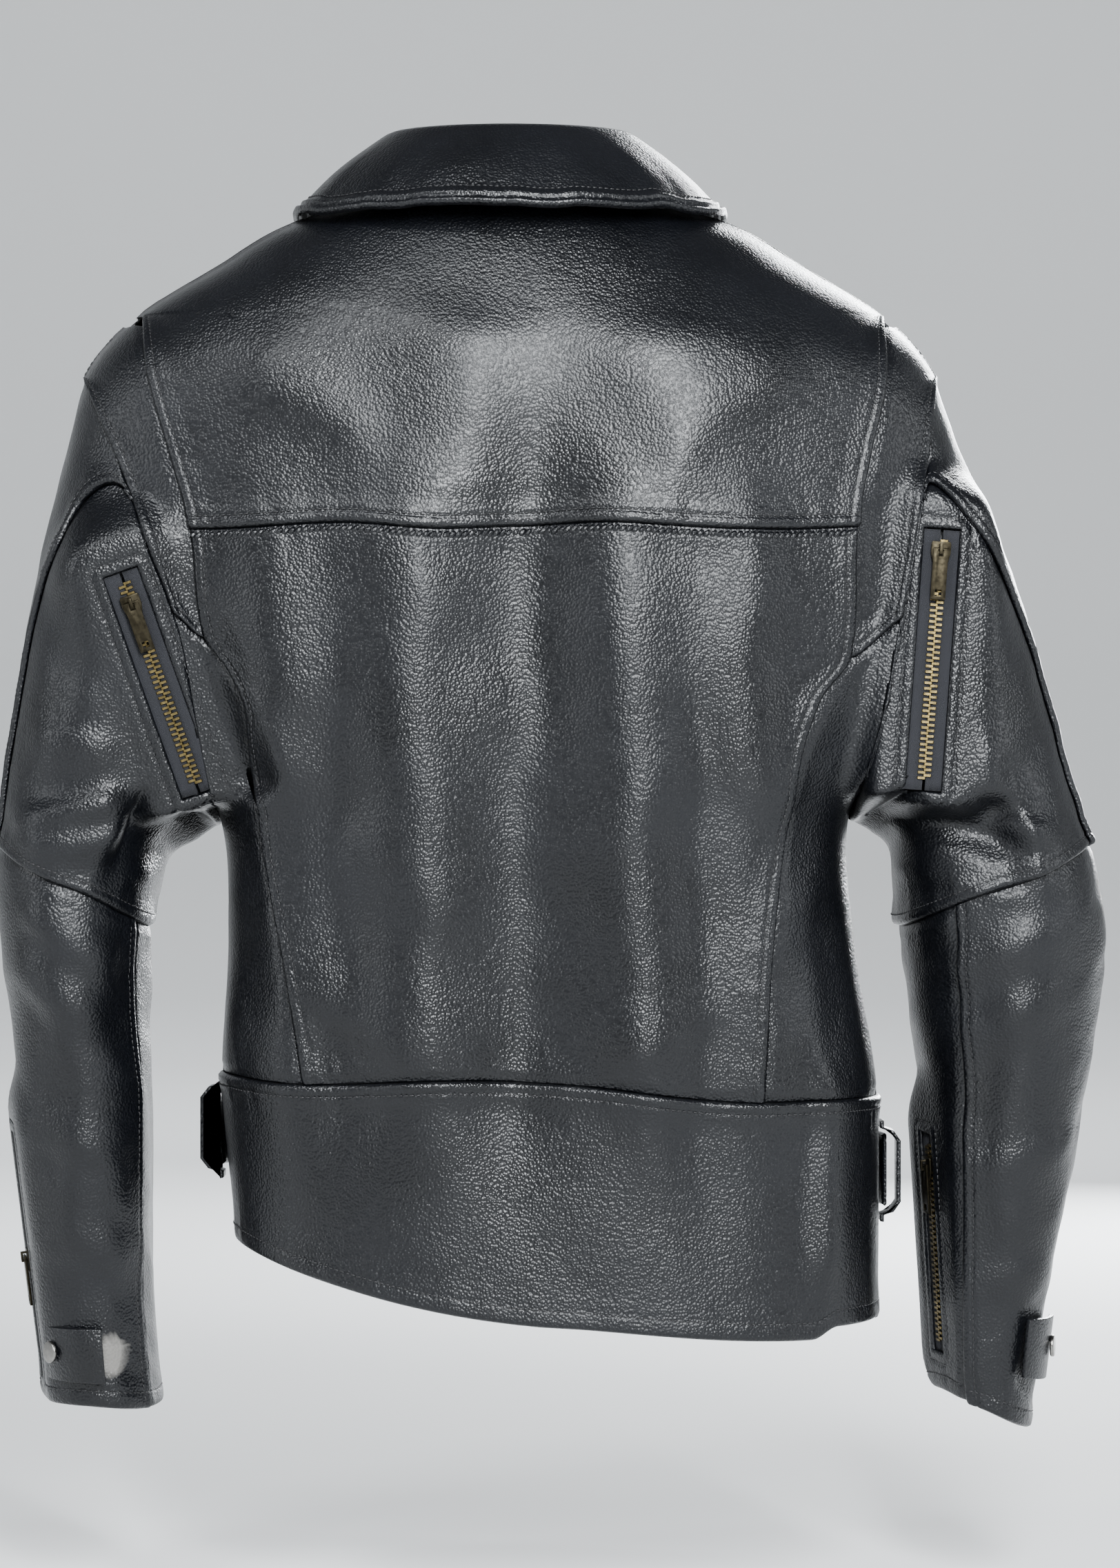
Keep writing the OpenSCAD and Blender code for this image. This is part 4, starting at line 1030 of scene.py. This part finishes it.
def braid(line, normal):
    """Three strands plaited along the yoke's lower edge."""
    run = path_length(line, 0)
    at = np.arange(2, run[-1] - 2, 0.7)
    p = np.stack([np.interp(at, run, line[:, k]) for k in range(3)], -1)
    n = unit(np.stack([np.interp(at, run, normal[:, k]) for k in range(3)], -1))
    way = unit(np.gradient(p, axis=0))
    side = unit(np.cross(n, way))
    strands = []
    for k in range(3):
        phase = at / 10.4 * 2 * np.pi + k * 2 * np.pi / 3
        across = (2.5 * np.sin(phase) - 4.2)[:, None]
        out = (2.9 + 1.1 * np.sin(2 * phase))[:, None]
        strands.append(p + side * across + n * out)
    obj = tube("yoke_braid_strands", strands, 1.65, MATERIALS["leather"], rings=2)
    settle(obj, "braid", "yoke_braid")


def back_body():
    panel = Panel("back_panel_leather", BACK_SKIN,
                  body_place(yoke_seam, waist_seam, lambda z: -seam_turn(LEFT, z),
                             lambda z: seam_turn(RIGHT, z)),
                  (LAP, LAP, UNDER, UNDER), pucker=(0.5, 0.5, 0.5, 0.6), seed=5)
    leather(panel, "leather", "back_panel")
    sew("stitching_body", panel.line(0, SEAM_ROW), panel.line(1, SEAM_ROW))
    for side in (LEFT, RIGHT):
        name = SIDE_NAME[side]
        gusset = Panel("back_gusset_leather_" + name, BACK_SKIN, gusset_place(side), (UNDER, LAP, FLAT, LAP),
                       pucker=(0.3, 0.3, 0, 0.3), seed=7 + side)
        leather(gusset, "leather", "back_gusset_" + name)
        sew("stitching_body", gusset.line(3, SEAM_ROW), gusset.line(1, SEAM_ROW))
        flank = Panel("side_panel_leather_" + name, BACK_SKIN, flank_place(side), (UNDER, FLAT, UNDER, UNDER),
                      pucker=(0.3, 0.2, 0.3, 0.5), seed=17 + side)
        leather(flank, "leather", "side_panel_" + name)
    band = Panel("waistband_leather", BACK_SKIN,
                 body_place(waist_seam, hem_z, lambda z: -RIDGE + 0 * z, lambda z: RIDGE + 0 * z),
                 (FLAT, FLAT, LAP, HEM), pucker=(0, 0, 0.55, 0.5), seed=23)
    leather(band, "leather", "waistband")
    sew("stitching_body", band.line(2, 6.8), band.line(3, HEM_ROW))


def gusset_end(side):
    """Height of the gusset's foot, which slopes up towards the armhole."""
    inner, outer = seam_turn(side, GUSSET_END_Z), side_turn(side, GUSSET_END_Z)
    low, high = GUSSET_FOOT[side]
    return lambda turn: mix(low, high, ease((np.abs(turn) - inner) / (outer - inner)))


def gusset_place(side):
    inner, outer = lambda z: side * seam_turn(side, z), lambda z: side * side_turn(side, z)
    return body_place(flat_z(-68), gusset_end(side), inner, outer)


def flank_place(side):
    inner, outer = lambda z: side * seam_turn(side, z), lambda z: side * side_turn(side, z)
    return body_place(gusset_end(side), waist_seam, inner, outer)


# ---- The sleeves ----

def sleeve_place(b_from, b_to, u_from, u_to):
    """Place and turn of a sleeve panel's points between its four edges."""
    def place(s, t):
        b_top = mix(b_from(0 * s), b_to(0 * s), s)
        b_end = mix(b_from(9 + 0 * s), b_to(9 + 0 * s), s)
        u = mix(u_from(b_top), u_to(b_end), t)
        b = mix(b_from(u), b_to(u), s)
        return mix(u_from(b), u_to(b), t), b
    return place


def constant(value):
    return lambda x: value + 0 * np.asarray(x, float)


def sleeves():
    for side in (LEFT, RIGHT):
        name, short = SIDE_NAME[side], SIDE_NAME[side][0]
        skin, elbow = SLEEVES[side], lambda b, side=side: elbow_seam(side, b)
        fore_b = constant(FOREARM_SEAM_B[side])
        top = Panel("top_sleeve_leather_" + name, skin,
                    sleeve_place(sleeve_seam_b, constant(FRONT_SEAM_B), constant(0.0), elbow),
                    (LAP, FLAT, UNDER, LAP), pucker=(0.4, 0, 0.3, 0.5), seed=31 + side)
        leather(top, "leather", "top_sleeve_" + name, side=side)
        under = Panel("under_sleeve_leather_" + name, skin,
                      sleeve_place(constant(FRONT_SEAM_B - 360), sleeve_seam_b, constant(0.0), elbow),
                      (FLAT, UNDER, UNDER, LAP), pucker=(0, 0.4, 0.3, 0.5), seed=37 + side)
        leather(under, "leather", "under_sleeve_" + name, side=side, cut=["vent_" + short])
        fore = Panel("forearm_top_leather_" + name, skin,
                     sleeve_place(fore_b, constant(FRONT_SEAM_B), elbow, constant(9.0)),
                     (LAP, FLAT, UNDER, HEM), pucker=(0.4, 0, 0.4, 0.5), seed=41 + side)
        leather(fore, "leather", "forearm_top_" + name, side=side,
                material="leather_worn" if side < 0 else "leather", cut=["cuff_l"] if side < 0 else [])
        rear = Panel("forearm_under_leather_" + name, skin,
                     sleeve_place(constant(FRONT_SEAM_B - 360), fore_b, elbow, constant(9.0)),
                     (FLAT, UNDER, UNDER, HEM), pucker=(0, 0.4, 0.4, 0.5), seed=43 + side)
        leather(rear, "leather", "forearm_under_" + name, side=side, cut=["cuff_r"] if side > 0 else [])
        sew("stitching_sleeve_" + name, top.line(0, SEAM_ROW), top.line(3, SEAM_ROW), under.line(3, SEAM_ROW),
            fore.line(0, SEAM_ROW), fore.line(3, HEM_ROW), rear.line(3, HEM_ROW))
        lining = Panel("sleeve_lining_" + name, SleeveLining(side),
                       sleeve_place(constant(-215.0), constant(145.0), constant(0.6), constant(8.8)),
                       seed=47 + side, density=LINING_DENSITY)
        obj = lining.build(MATERIALS["lining"], LINING_T)
        settle(obj, "lining", "forearm_lining_" + name, side=side)


# ---- The front ----
ZIP_TOP, ZIP_FOOT = (58, -240), (14, -585)
FOLD_TOP_X, FOLD_TOP_Z, FOLD_FOOT_Z = 66, -14, -236
ZIP_OPENING = 6.3
LAPEL = [[-54, 30], [-84, 52], [-112, 77], [-160, 50], [-236, 9]]
LAPEL_RISE = 5


def zip_x(z):
    return mix(ZIP_TOP[0], ZIP_FOOT[0], (z - ZIP_TOP[1]) / (ZIP_FOOT[1] - ZIP_TOP[1]))


def fold_x(side, z):
    t = (z - FOLD_TOP_Z) / (FOLD_FOOT_Z - FOLD_TOP_Z)
    return mix(side * FOLD_TOP_X, ZIP_TOP[0] + side * ZIP_OPENING, ease(t) * 0.4 + 0.6 * t)


def front_turn(side, z):
    x = np.where(z > FOLD_FOOT_Z, fold_x(side, z), zip_x(z) + side * ZIP_OPENING)
    return turn_at(x - lean_at(z), z)


class Raised(Body):
    """A sheet that lies on the body's front, by x and height."""

    def bare(self, x, z):
        return body_pt(turn_at(x - lean_at(z), z), z, self.face)

    def middle(self, x, z):
        return np.stack([x * 0.8, 0 * z, z + 0 * x], -1)

    def fold(self, x, z, p):
        return 0 * p[..., 0]


def front():
    for side in (LEFT, RIGHT):
        name, short = SIDE_NAME[side], SIDE_NAME[side][0]
        panel = Panel("front_panel_leather_" + name, FRONT_SKIN,
                      body_place(flat_z(FOLD_TOP_Z - 2), front_hem_z, lambda z: front_turn(side, z),
                                 lambda z: side * side_turn(side, z)),
                      (LAP, FLAT, FLAT, HEM), pucker=(0.3, 0, 0, 0.4), seed=53 + side)
        cut = ["hand_" + short] + (["chest"] if side < 0 else [])
        leather(panel, "leather", "front_panel_" + name, cut=cut)
        sew("stitching_body", panel.line(0, 9.0), panel.line(3, HEM_ROW))
        top, foot = LAPEL[0][0], LAPEL[-1][0]

        def place(s, t):
            z = mix(top, foot, t)
            return fold_x(side, z) + side * (2 + on_rows(LAPEL, z)[..., 0] * s), z
        skin = Raised(FRONT)
        lapel = Panel("lapel_leather_" + name, skin, place, (HEM, HEM, HEM, FLAT), depth=-LAPEL_RISE - 3.2,
                      pucker=(0, 0.3, 0.3, 0), seed=59 + side, surface=skin.bare)
        leather(lapel, "leather", "lapel_" + name, thickness=3.2)
        sew("stitching_body", lapel.line(1, HEM_ROW), lapel.line(2, HEM_ROW))


# ---- The collar: turn about the neck, and 0 at the neck seam to 1 at the edge ----
COLLAR_END, COLLAR_BEND = 142, 80                      # turn where it ends, and where it starts to lie flat
COLLAR_OVER, COLLAR_RISE, COLLAR_FALL = 5.5, 41, 50    # over the body, height of the roll, depth of the fall
COLLAR_STAND = 0.4                                     # share of the way that is the stand


def top_z(x, y):
    """Height of the body's surface over a point of the plan."""
    low, high = np.full(x.shape, -200.0), np.full(x.shape, -1.0)
    for _ in range(14):
        m = (low + high) / 2
        r = on_rows(BODY, m)
        depth = np.where(y < 0, r[..., 1], r[..., 2])
        outside = (np.abs(x) / r[..., 0]) ** r[..., 3] + (np.abs(y) / depth) ** r[..., 3] > 1
        high = np.where(outside, m, high)
        low = np.where(outside, low, m)
    return (low + high) / 2


class Collar:
    """The collar's surface: up its stand, over the roll and down its fall."""
    nudge = (1.0, 0.02)

    def bare(self, k, t):
        k, t = np.broadcast_arrays(np.asarray(k, float), np.asarray(t, float))
        a = np.radians(k)
        f = ease((np.abs(k) - COLLAR_BEND) / (COLLAR_END - COLLAR_BEND))

        def ring(w, d, z):
            return np.stack([w * np.sin(a), -d * np.cos(a), z + 0 * k], -1)
        seam = ring(67, 53, mix(1, -12, f))
        roll = ring(mix(62, 68, f), mix(47, 62, f), mix(COLLAR_RISE, 6, f))
        edge = ring(mix(118, 128, f), mix(88, 116, f), mix(COLLAR_RISE - COLLAR_FALL, -52, f))
        out = unit(np.stack([np.sin(a), -np.cos(a), 1.2 + 0 * k], -1))
        v = np.clip((t - COLLAR_STAND) / (1 - COLLAR_STAND), 0, None)
        fall = mix(roll, edge, v[..., None]) + out * (9 * np.sin(np.pi * np.minimum(t, 1)) * v)[..., None]
        floor = top_z(fall[..., 0], fall[..., 1]) + COLLAR_OVER
        fall[..., 2] = np.maximum(fall[..., 2], floor)
        return np.where((t < COLLAR_STAND)[..., None], mix(seam, roll, (t / COLLAR_STAND)[..., None]), fall)

    def middle(self, k, t):
        a = np.radians(k)
        under = np.where(np.asarray(t) < COLLAR_STAND, 0, 40) + 0 * a
        return self.bare(k, t) - np.stack([np.sin(a) * 30, -np.cos(a) * 30, under], -1)


def rounded(function, spread):
    """A surface function evened out over its second coordinate."""
    weights = ((-1, 0.12), (-0.5, 0.22), (0, 0.32), (0.5, 0.22), (1, 0.12))
    return lambda a, b: sum(weight * function(a, b + offset * spread) for offset, weight in weights)


RIM = ([0, 0.6, 1.8, 3.6, 4.8, 5.6, 7.2, 9.0, 11, 14], [-2.0, 0.4, 1.7, 1.3, -0.9, 0.8, 1.6, 0.8, 0, 0])


def collar():
    skin = Collar()

    def place(s, t):
        return mix(-COLLAR_END, COLLAR_END, s), t
    even = rounded(skin.bare, 0.07)

    def crinkled(k, t):
        p = even(k, t)
        broad = 0.9 * wander(k * 1.9, 71, 40) * ease((t - 0.5) / 0.3)
        lift = broad + 0.5 * wander(k * 1.9, 73, 16) * bump(t, 1, 0.3)
        return p + np.stack([0 * k + 0 * t, -0.5 * lift, lift], -1)
    panel = Panel("collar_leather", skin, place, (RIM, RIM, FLAT, RIM), depth=-1.6,
                  pucker=(0.2, 0.2, 0, 0.35), seed=61, surface=crinkled)
    leather(panel, "leather_grained", "collar", material="grained", thickness=3.2)
    sew("stitching_body", panel.line(3, 11.5), panel.line(0, 11.5), panel.line(1, 11.5))


# ---- Lining, bags and the loop ----

def inside():
    def edge(side, z):
        return side * (np.minimum(86, side_turn(side, z)) - 3.5)

    def lower(turn):
        return front_hem_z(turn) + 18
    back = Panel("body_lining_back", BACK_SKIN,
                 body_place(flat_z(-8), lower, lambda z: edge(LEFT, z), lambda z: edge(RIGHT, z)),
                 depth=LINING_DEPTH, seed=67, density=LINING_DENSITY)
    obj = back.build(MATERIALS["lining"], LINING_T)
    settle(obj, "lining", "body_lining")
    for side in (LEFT, RIGHT):
        name = SIDE_NAME[side]
        fore = Panel("body_lining_front_" + name, FRONT_SKIN,
                     body_place(flat_z(-30), lower, lambda z: front_turn(side, z) + side * 2,
                                lambda z: edge(side, z)),
                     depth=LINING_DEPTH, seed=68 + side, density=LINING_DENSITY)
        settle(fore.build(MATERIALS["lining"], LINING_T), "lining")

        def place(s, t):
            x = mix(68, 116, s)
            return turn_at(side * x, -440 + 0 * t) + 0 * t, mix(-440, -550, t)
        bag = Panel("pocket_bag_" + name, FRONT_SKIN, place, depth=5.4, seed=72 + side, density=0.6)
        obj = settle(bag.build(MATERIALS["lining"], 1.2), "lining")
        if side > 0:
            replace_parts(obj, "pocket_bags")
    a = np.linspace(0, np.pi, 40)
    route = np.stack([30 * np.cos(a), -40 + 0 * a, -6 - 20 * np.sin(a)], -1)
    loop = tube("hanger_loop_cord", [route], 1.5, MATERIALS["lining"])
    settle(loop, "lining", "hanger_loop")


# ---- The belt ----
BELT_W, BELT_T, BELT_Z = 40, 2.6, -518
BELT_SLOPE, BELT_RISE, BELT_END = 12, 4.4, 84    # drop to the right, height over the skin, turn where it ends
BELT_EDGE = ([0, 0.5, 1.4, 3, 4.2, 5.2], [-0.8, -0.2, 0, 0, -0.3, 0])


class Strap(Body):
    """The skin under the belt, without folds."""

    def fold(self, turn, z, p):
        return 0 * p[..., 0]


def belt():
    def mid(turn):
        return BELT_Z - BELT_SLOPE * np.sin(np.radians(turn))

    skin = Strap(FRONT)
    low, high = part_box("belt_buckle")
    ends = [turn_at(low.x / MM - 12 - lean_at(BELT_Z), BELT_Z),
            turn_at(high.x / MM + 18.6 - lean_at(BELT_Z), BELT_Z)]
    for name, first, last in (("left", -BELT_END, float(ends[0])), ("right", float(ends[1]), BELT_END)):
        def place(s, t):
            turn = mix(first, last, s)
            return turn, mid(turn) + mix(BELT_W / 2, -BELT_W / 2, t)
        strap = Panel("belt_strap_leather_" + name, skin, place, (BELT_EDGE,) * 4, depth=-BELT_RISE - BELT_T,
                      seed=81, surface=skin.bare)
        leather(strap, "leather", thickness=BELT_T)
        sew("stitching_body", strap.line(2, 4.2), strap.line(3, 4.2))
    tongue = refined("belt_tongue_leather", ["belt_strap"], MATERIALS["leather"], JACKET, 0.0005,
                     2, 50)
    bm = bmesh.new()
    bm.from_mesh(tongue.data)
    left = low.x - 0.034
    far = [v for v in bm.verts if v.co.x < left or v.co.x > high.x + 0.021]
    bmesh.ops.delete(bm, geom=far, context="VERTS")
    bmesh.ops.holes_fill(bm, edges=[e for e in bm.edges if e.is_boundary])
    bm.to_mesh(tongue.data)
    bm.free()


def fittings():
    refined("belt_loops_leather", ["belt_loops"], MATERIALS["leather"], JACKET, 0.0005, 2, 40)
    refined("buckle_frame", ["belt_buckle"], MATERIALS["nickel"], "belt_buckle", 0.0004)
    refined("buckle_tongue", ["buckle_prong"], MATERIALS["nickel"], "buckle_prong", 0.0003)
    refined("lapel_snap_caps", ["lapel_snaps"], MATERIALS["nickel"], JACKET, 0.0008, 4)
    for side in ("left", "right"):
        refined("cuff_tab_leather_" + side, ["cuff_tab_" + side], MATERIALS["leather"], "cuff_tab_" + side,
                0.0006, 3, 40)
        refined("cuff_snap_cap_" + side, ["cuff_snap_" + side], MATERIALS["nickel"], "cuff_tab_" + side,
                0.0008, 4)


def tooth_shape():
    """One zip tooth with its rounded head past the middle line, in the zip's millimetres."""
    bm = bmesh.new()
    bmesh.ops.create_cube(bm, size=1.0)
    for v in bm.verts:
        x, y, z = v.co
        v.co = (x * 1.3, y * 4.3 + 1.55, z * 2.3)
    long = [e for e in bm.edges if abs(e.verts[0].co.x - e.verts[1].co.x) > 1 or
            (e.verts[0].co.y < 0 and e.verts[1].co.y < 0)]
    bmesh.ops.bevel(bm, geom=long, offset=0.32, offset_type="OFFSET", segments=1, profile=0.5, affect="EDGES",
                    material=-1)
    mesh = bpy.data.meshes.new("tooth")
    bm.to_mesh(mesh)
    bm.free()
    return mesh


# ---- The zips ----

def tape_piece(zipped, sign):
    """One tape of a zip, with its UV in millimetres."""
    columns, rows = 3, max(3, int(zipped.length / 4))
    mesh, i, j = net("tape", columns, rows)
    x = -4.5 + (zipped.length + 9) * j / (rows - 1)
    y = sign * (0.8 + (zipped.lip + 5.2) * i / (columns - 1))
    set_points(mesh, zipped.world(np.stack([x, y, 0 * x + 0.1], -1)) * MM)
    layer = mesh.uv_layers.new(name="UVMap")
    corner = np.empty(len(mesh.loops), np.int32)
    mesh.loops.foreach_get("vertex_index", corner)
    layer.data.foreach_set("uv", np.stack([x, y], -1)[corner].ravel())
    if sign < 0:
        mesh.flip_normals()
    return mesh


def zips():
    tooth = tooth_shape()
    for group in sorted({z.tape for z in ZIPS.values()}):
        members = [z for z in ZIPS.values() if z.tape == group]
        body = members[0].body
        bm = bmesh.new()
        rows = []
        for z in members:
            for sign in (1, -1):
                part = tape_piece(z, sign)
                bm.from_mesh(part)
                bpy.data.meshes.remove(part)
                x = np.arange(1.5 if sign > 0 else 3.0, z.length - 1, 3.0)
                p = z.world(np.stack([x, 0 * x, 0 * x], -1))
                rows.append((p, np.tile(z.way * sign, (len(x), 1)), np.tile(z.out, (len(x), 1))))
        mesh = bpy.data.meshes.new(group + "_cloth")
        bm.to_mesh(mesh)
        bm.free()
        obj = new_object(group + "_cloth", mesh, MATERIALS["tape"])
        outward = np.array(mesh.polygons[0].normal) @ members[0].out
        if outward < 0:
            mesh.flip_normals()
        wall = obj.modifiers.new("wall", "SOLIDIFY")
        wall.thickness = 0.7 * MM
        wall.offset = -1.0
        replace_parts(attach(obj, body), group)
        teeth = members[0].teeth
        obj = stamped(teeth + "_brass", tooth, rows, MATERIALS["teeth"])
        obj.data.set_sharp_from_angle(angle=math.radians(35))
        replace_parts(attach(obj, body), teeth)
    for z in ZIPS.values():
        refined(z.slider + "_brass", [z.slider], MATERIALS["slider"], z.slider, 0.0003)
        refined(z.pull + "_brass", [z.pull], MATERIALS["slider"], z.pull, 0.0003)


LIP_ROW = 6.3    # distance of the row of stitches from the opening's edge


def zip_stitches():
    """Rows of stitches round the openings of the zips."""
    groups = {"cuff_l": "stitching_cuff_left", "cuff_r": "stitching_cuff_right",
              "vent_l": "stitching_vent_left", "vent_r": "stitching_vent_right"}
    for key, z in ZIPS.items():
        if key == "main":
            continue
        ends = (-LIP_END - LIP_ROW, z.length + LIP_END + (LIP_ROW if z.lip == LIP_Y else 0.0))
        for sign in (1, -1):
            x = np.linspace(*ends, 60)
            line = z.world(np.stack([x, 0 * x + sign * (z.lip + LIP_ROW), 0 * x + LIP_Z - 0.1], -1))
            sew(groups.get(key, "stitching_body"), (line, np.tile(z.out, (60, 1))))
        y = np.linspace(-z.lip - LIP_ROW, z.lip + LIP_ROW, 30)
        for x in ends[:1 if z.lip > LIP_Y else 2]:
            line = z.world(np.stack([0 * y + x, y, 0 * y + LIP_Z - 0.1], -1))
            sew(groups.get(key, "stitching_body"), (line, np.tile(z.out, (30, 1))))


def stitching():
    zip_stitches()
    shape = stitch_shape()
    pitch = sizes().stitch_pitch / MM
    for group, lines in STITCHED.items():
        rows = [spaced(p + n * 0.15, n, pitch) for p, n in lines]
        obj = stamped(group, shape, rows, MATERIALS["thread"])
        side = LEFT if group.endswith("left") else RIGHT if group.endswith("right") else 0
        if "cuff" in group:
            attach(obj, "forearm_" + SIDE_NAME[side])
        else:
            settle(obj, "stitching", side=side)


# ---- Stage ----
# name, place, aim, size, watts; the four last light the backdrop alone
LIGHTS = [
    ("key", (0.42, -2.6, 0.92), (0, 0, -0.25), (0.5, 1.4), 230),
    ("top", (-0.9, -1.5, 1.6), (0, 0, -0.2), (0.5, 0.5), 34),
    ("left", (-2.3, -0.9, 0.3), (0, 0, -0.35), (0.25, 1.6), 26),
    ("right", (2.4, -0.7, 0.4), (0, 0, -0.35), (0.25, 1.6), 26),
    ("front", (0.9, 2.6, 0.5), (0, 0, -0.3), (0.5, 1.6), 150),
    ("wall_1", (0, 3, 2.6), (0, 9, -0.4), (2, 2), 275), ("wall_2", (0, -3, 2.6), (0, -9, -0.4), (2, 2), 45),
    ("wall_3", (3, 0, 2.6), (9, 0, -0.4), (2, 2), 190), ("wall_4", (-3, 0, 2.6), (-9, 0, -0.4), (2, 2), 190)]


def stage():
    scene = bpy.context.scene
    camera = bpy.data.cameras.new("camera")
    camera.lens, camera.sensor_width = 125.5, 36
    holder = bpy.data.objects.new("camera", camera)
    holder.location = (0.0275, -3.0, -0.317)
    holder.rotation_euler = (math.radians(90), 0, 0)
    scene.collection.objects.link(holder)
    scene.camera = holder
    mat = new_material("pale_matt_floor", Base_Color=linear(colours().stage), Roughness=0.9)[0]
    bm = bmesh.new()
    start = bm.verts.new((0, 0, -0.76))
    ring = [(4.0, -0.76), (5.5, -0.755), (6.8, -0.7), (8.0, -0.5), (9.0, -0.1), (9.7, 0.55), (10.0, 1.5),
            (10.1, 7.0)]
    verts = [bm.verts.new((r, 0, z)) for r, z in ring]
    edges = [bm.edges.new((a, b)) for a, b in zip([start] + verts[:-1], verts)]
    bmesh.ops.spin(bm, geom=verts + edges + [start], cent=(0, 0, 0), axis=(0, 0, 1), dvec=(0, 0, 0),
                   angle=math.radians(360), steps=48, use_merge=True)
    bmesh.ops.remove_doubles(bm, verts=bm.verts, dist=1e-4)
    bmesh.ops.recalc_face_normals(bm, faces=bm.faces)
    mesh = bpy.data.meshes.new("cyclorama")
    bm.to_mesh(mesh)
    bm.free()
    floor = new_object("cyclorama", mesh, mat)
    world = bpy.data.worlds.new("studio")
    scene.world = world
    world.use_nodes = True
    world.node_tree.nodes["Background"].inputs["Color"].default_value = (0.93, 0.95, 1.0, 1)
    world.node_tree.nodes["Background"].inputs["Strength"].default_value = 0.16
    for name, place, aim, size, power in LIGHTS:
        light = bpy.data.lights.new(name, "AREA")
        light.shape = "RECTANGLE"
        light.size, light.size_y = size
        light.energy = power
        light.color = (0.94, 0.97, 1.0)
        obj = bpy.data.objects.new(name, light)
        obj.location = place
        obj.rotation_euler = (Vector(aim) - Vector(place)).to_track_quat("-Z", "Y").to_euler()
        obj.visible_camera = False
        scene.collection.objects.link(obj)


# ---- Operators and the panel that lists them ----

class JACKET_OT_stage(bpy.types.Operator):
    """Set up the camera, the lights, the floor and the materials"""
    bl_idname = "jacket.stage"
    bl_label = "Stage and materials"

    def execute(self, context):
        stage()
        make_materials()
        read_zips()
        return {"FINISHED"}


class JACKET_OT_back(bpy.types.Operator):
    """Build the yoke, its braid, the back and side panels and the waistband"""
    bl_idname = "jacket.back"
    bl_label = "Back"

    def execute(self, context):
        back_yoke()
        back_body()
        return {"FINISHED"}


class JACKET_OT_sleeves(bpy.types.Operator):
    """Build both sleeves and their lining"""
    bl_idname = "jacket.sleeves"
    bl_label = "Sleeves"

    def execute(self, context):
        sleeves()
        return {"FINISHED"}


class JACKET_OT_front(bpy.types.Operator):
    """Build the front panels, the lapels and the collar"""
    bl_idname = "jacket.front"
    bl_label = "Front and collar"

    def execute(self, context):
        front()
        collar()
        return {"FINISHED"}


class JACKET_OT_inside(bpy.types.Operator):
    """Build the lining, the pocket bags and the hanger loop"""
    bl_idname = "jacket.inside"
    bl_label = "Lining"

    def execute(self, context):
        inside()
        return {"FINISHED"}


class JACKET_OT_fittings(bpy.types.Operator):
    """Build the belt, its buckle and loops, the cuff tabs and the snaps"""
    bl_idname = "jacket.fittings"
    bl_label = "Belt, tabs and snaps"

    def execute(self, context):
        belt()
        fittings()
        return {"FINISHED"}


class JACKET_OT_zips(bpy.types.Operator):
    """Build the tapes, teeth, sliders and pulls of the zips"""
    bl_idname = "jacket.zips"
    bl_label = "Zips"

    def execute(self, context):
        zips()
        return {"FINISHED"}


class JACKET_OT_stitching(bpy.types.Operator):
    """Sew the topstitching along the seams"""
    bl_idname = "jacket.stitching"
    bl_label = "Stitching"

    def execute(self, context):
        stitching()
        return {"FINISHED"}


OPERATORS = (JACKET_OT_stage, JACKET_OT_back, JACKET_OT_sleeves, JACKET_OT_front, JACKET_OT_inside,
             JACKET_OT_fittings, JACKET_OT_zips, JACKET_OT_stitching)


class JACKET_PT_main(bpy.types.Panel):
    bl_label = "Jacket"
    bl_idname = "JACKET_PT_main"
    bl_space_type = "VIEW_3D"
    bl_region_type = "UI"
    bl_category = "Jacket"

    def draw(self, context):
        for group in (context.scene.jacket_sizes, context.scene.jacket_colours):
            for name in group.bl_rna.properties.keys():
                if name not in ("rna_type", "name"):
                    self.layout.prop(group, name)
        for operator in OPERATORS:
            self.layout.operator(operator.bl_idname)


CLASSES = (JacketSizes, JacketColours) + OPERATORS + (JACKET_PT_main,)


def register():
    for cls in CLASSES:
        bpy.utils.register_class(cls)
    bpy.types.Scene.jacket_sizes = bpy.props.PointerProperty(type=JacketSizes)
    bpy.types.Scene.jacket_colours = bpy.props.PointerProperty(type=JacketColours)


def unregister():
    del bpy.types.Scene.jacket_sizes
    del bpy.types.Scene.jacket_colours
    for cls in reversed(CLASSES):
        bpy.utils.unregister_class(cls)


def main():
    register()
    bpy.ops.jacket.stage()
    bpy.ops.jacket.back()
    bpy.ops.jacket.sleeves()
    bpy.ops.jacket.front()
    bpy.ops.jacket.inside()
    bpy.ops.jacket.fittings()
    bpy.ops.jacket.zips()
    bpy.ops.jacket.stitching()
    bpy.context.view_layer.update()


if __name__ == "__main__":
    main()
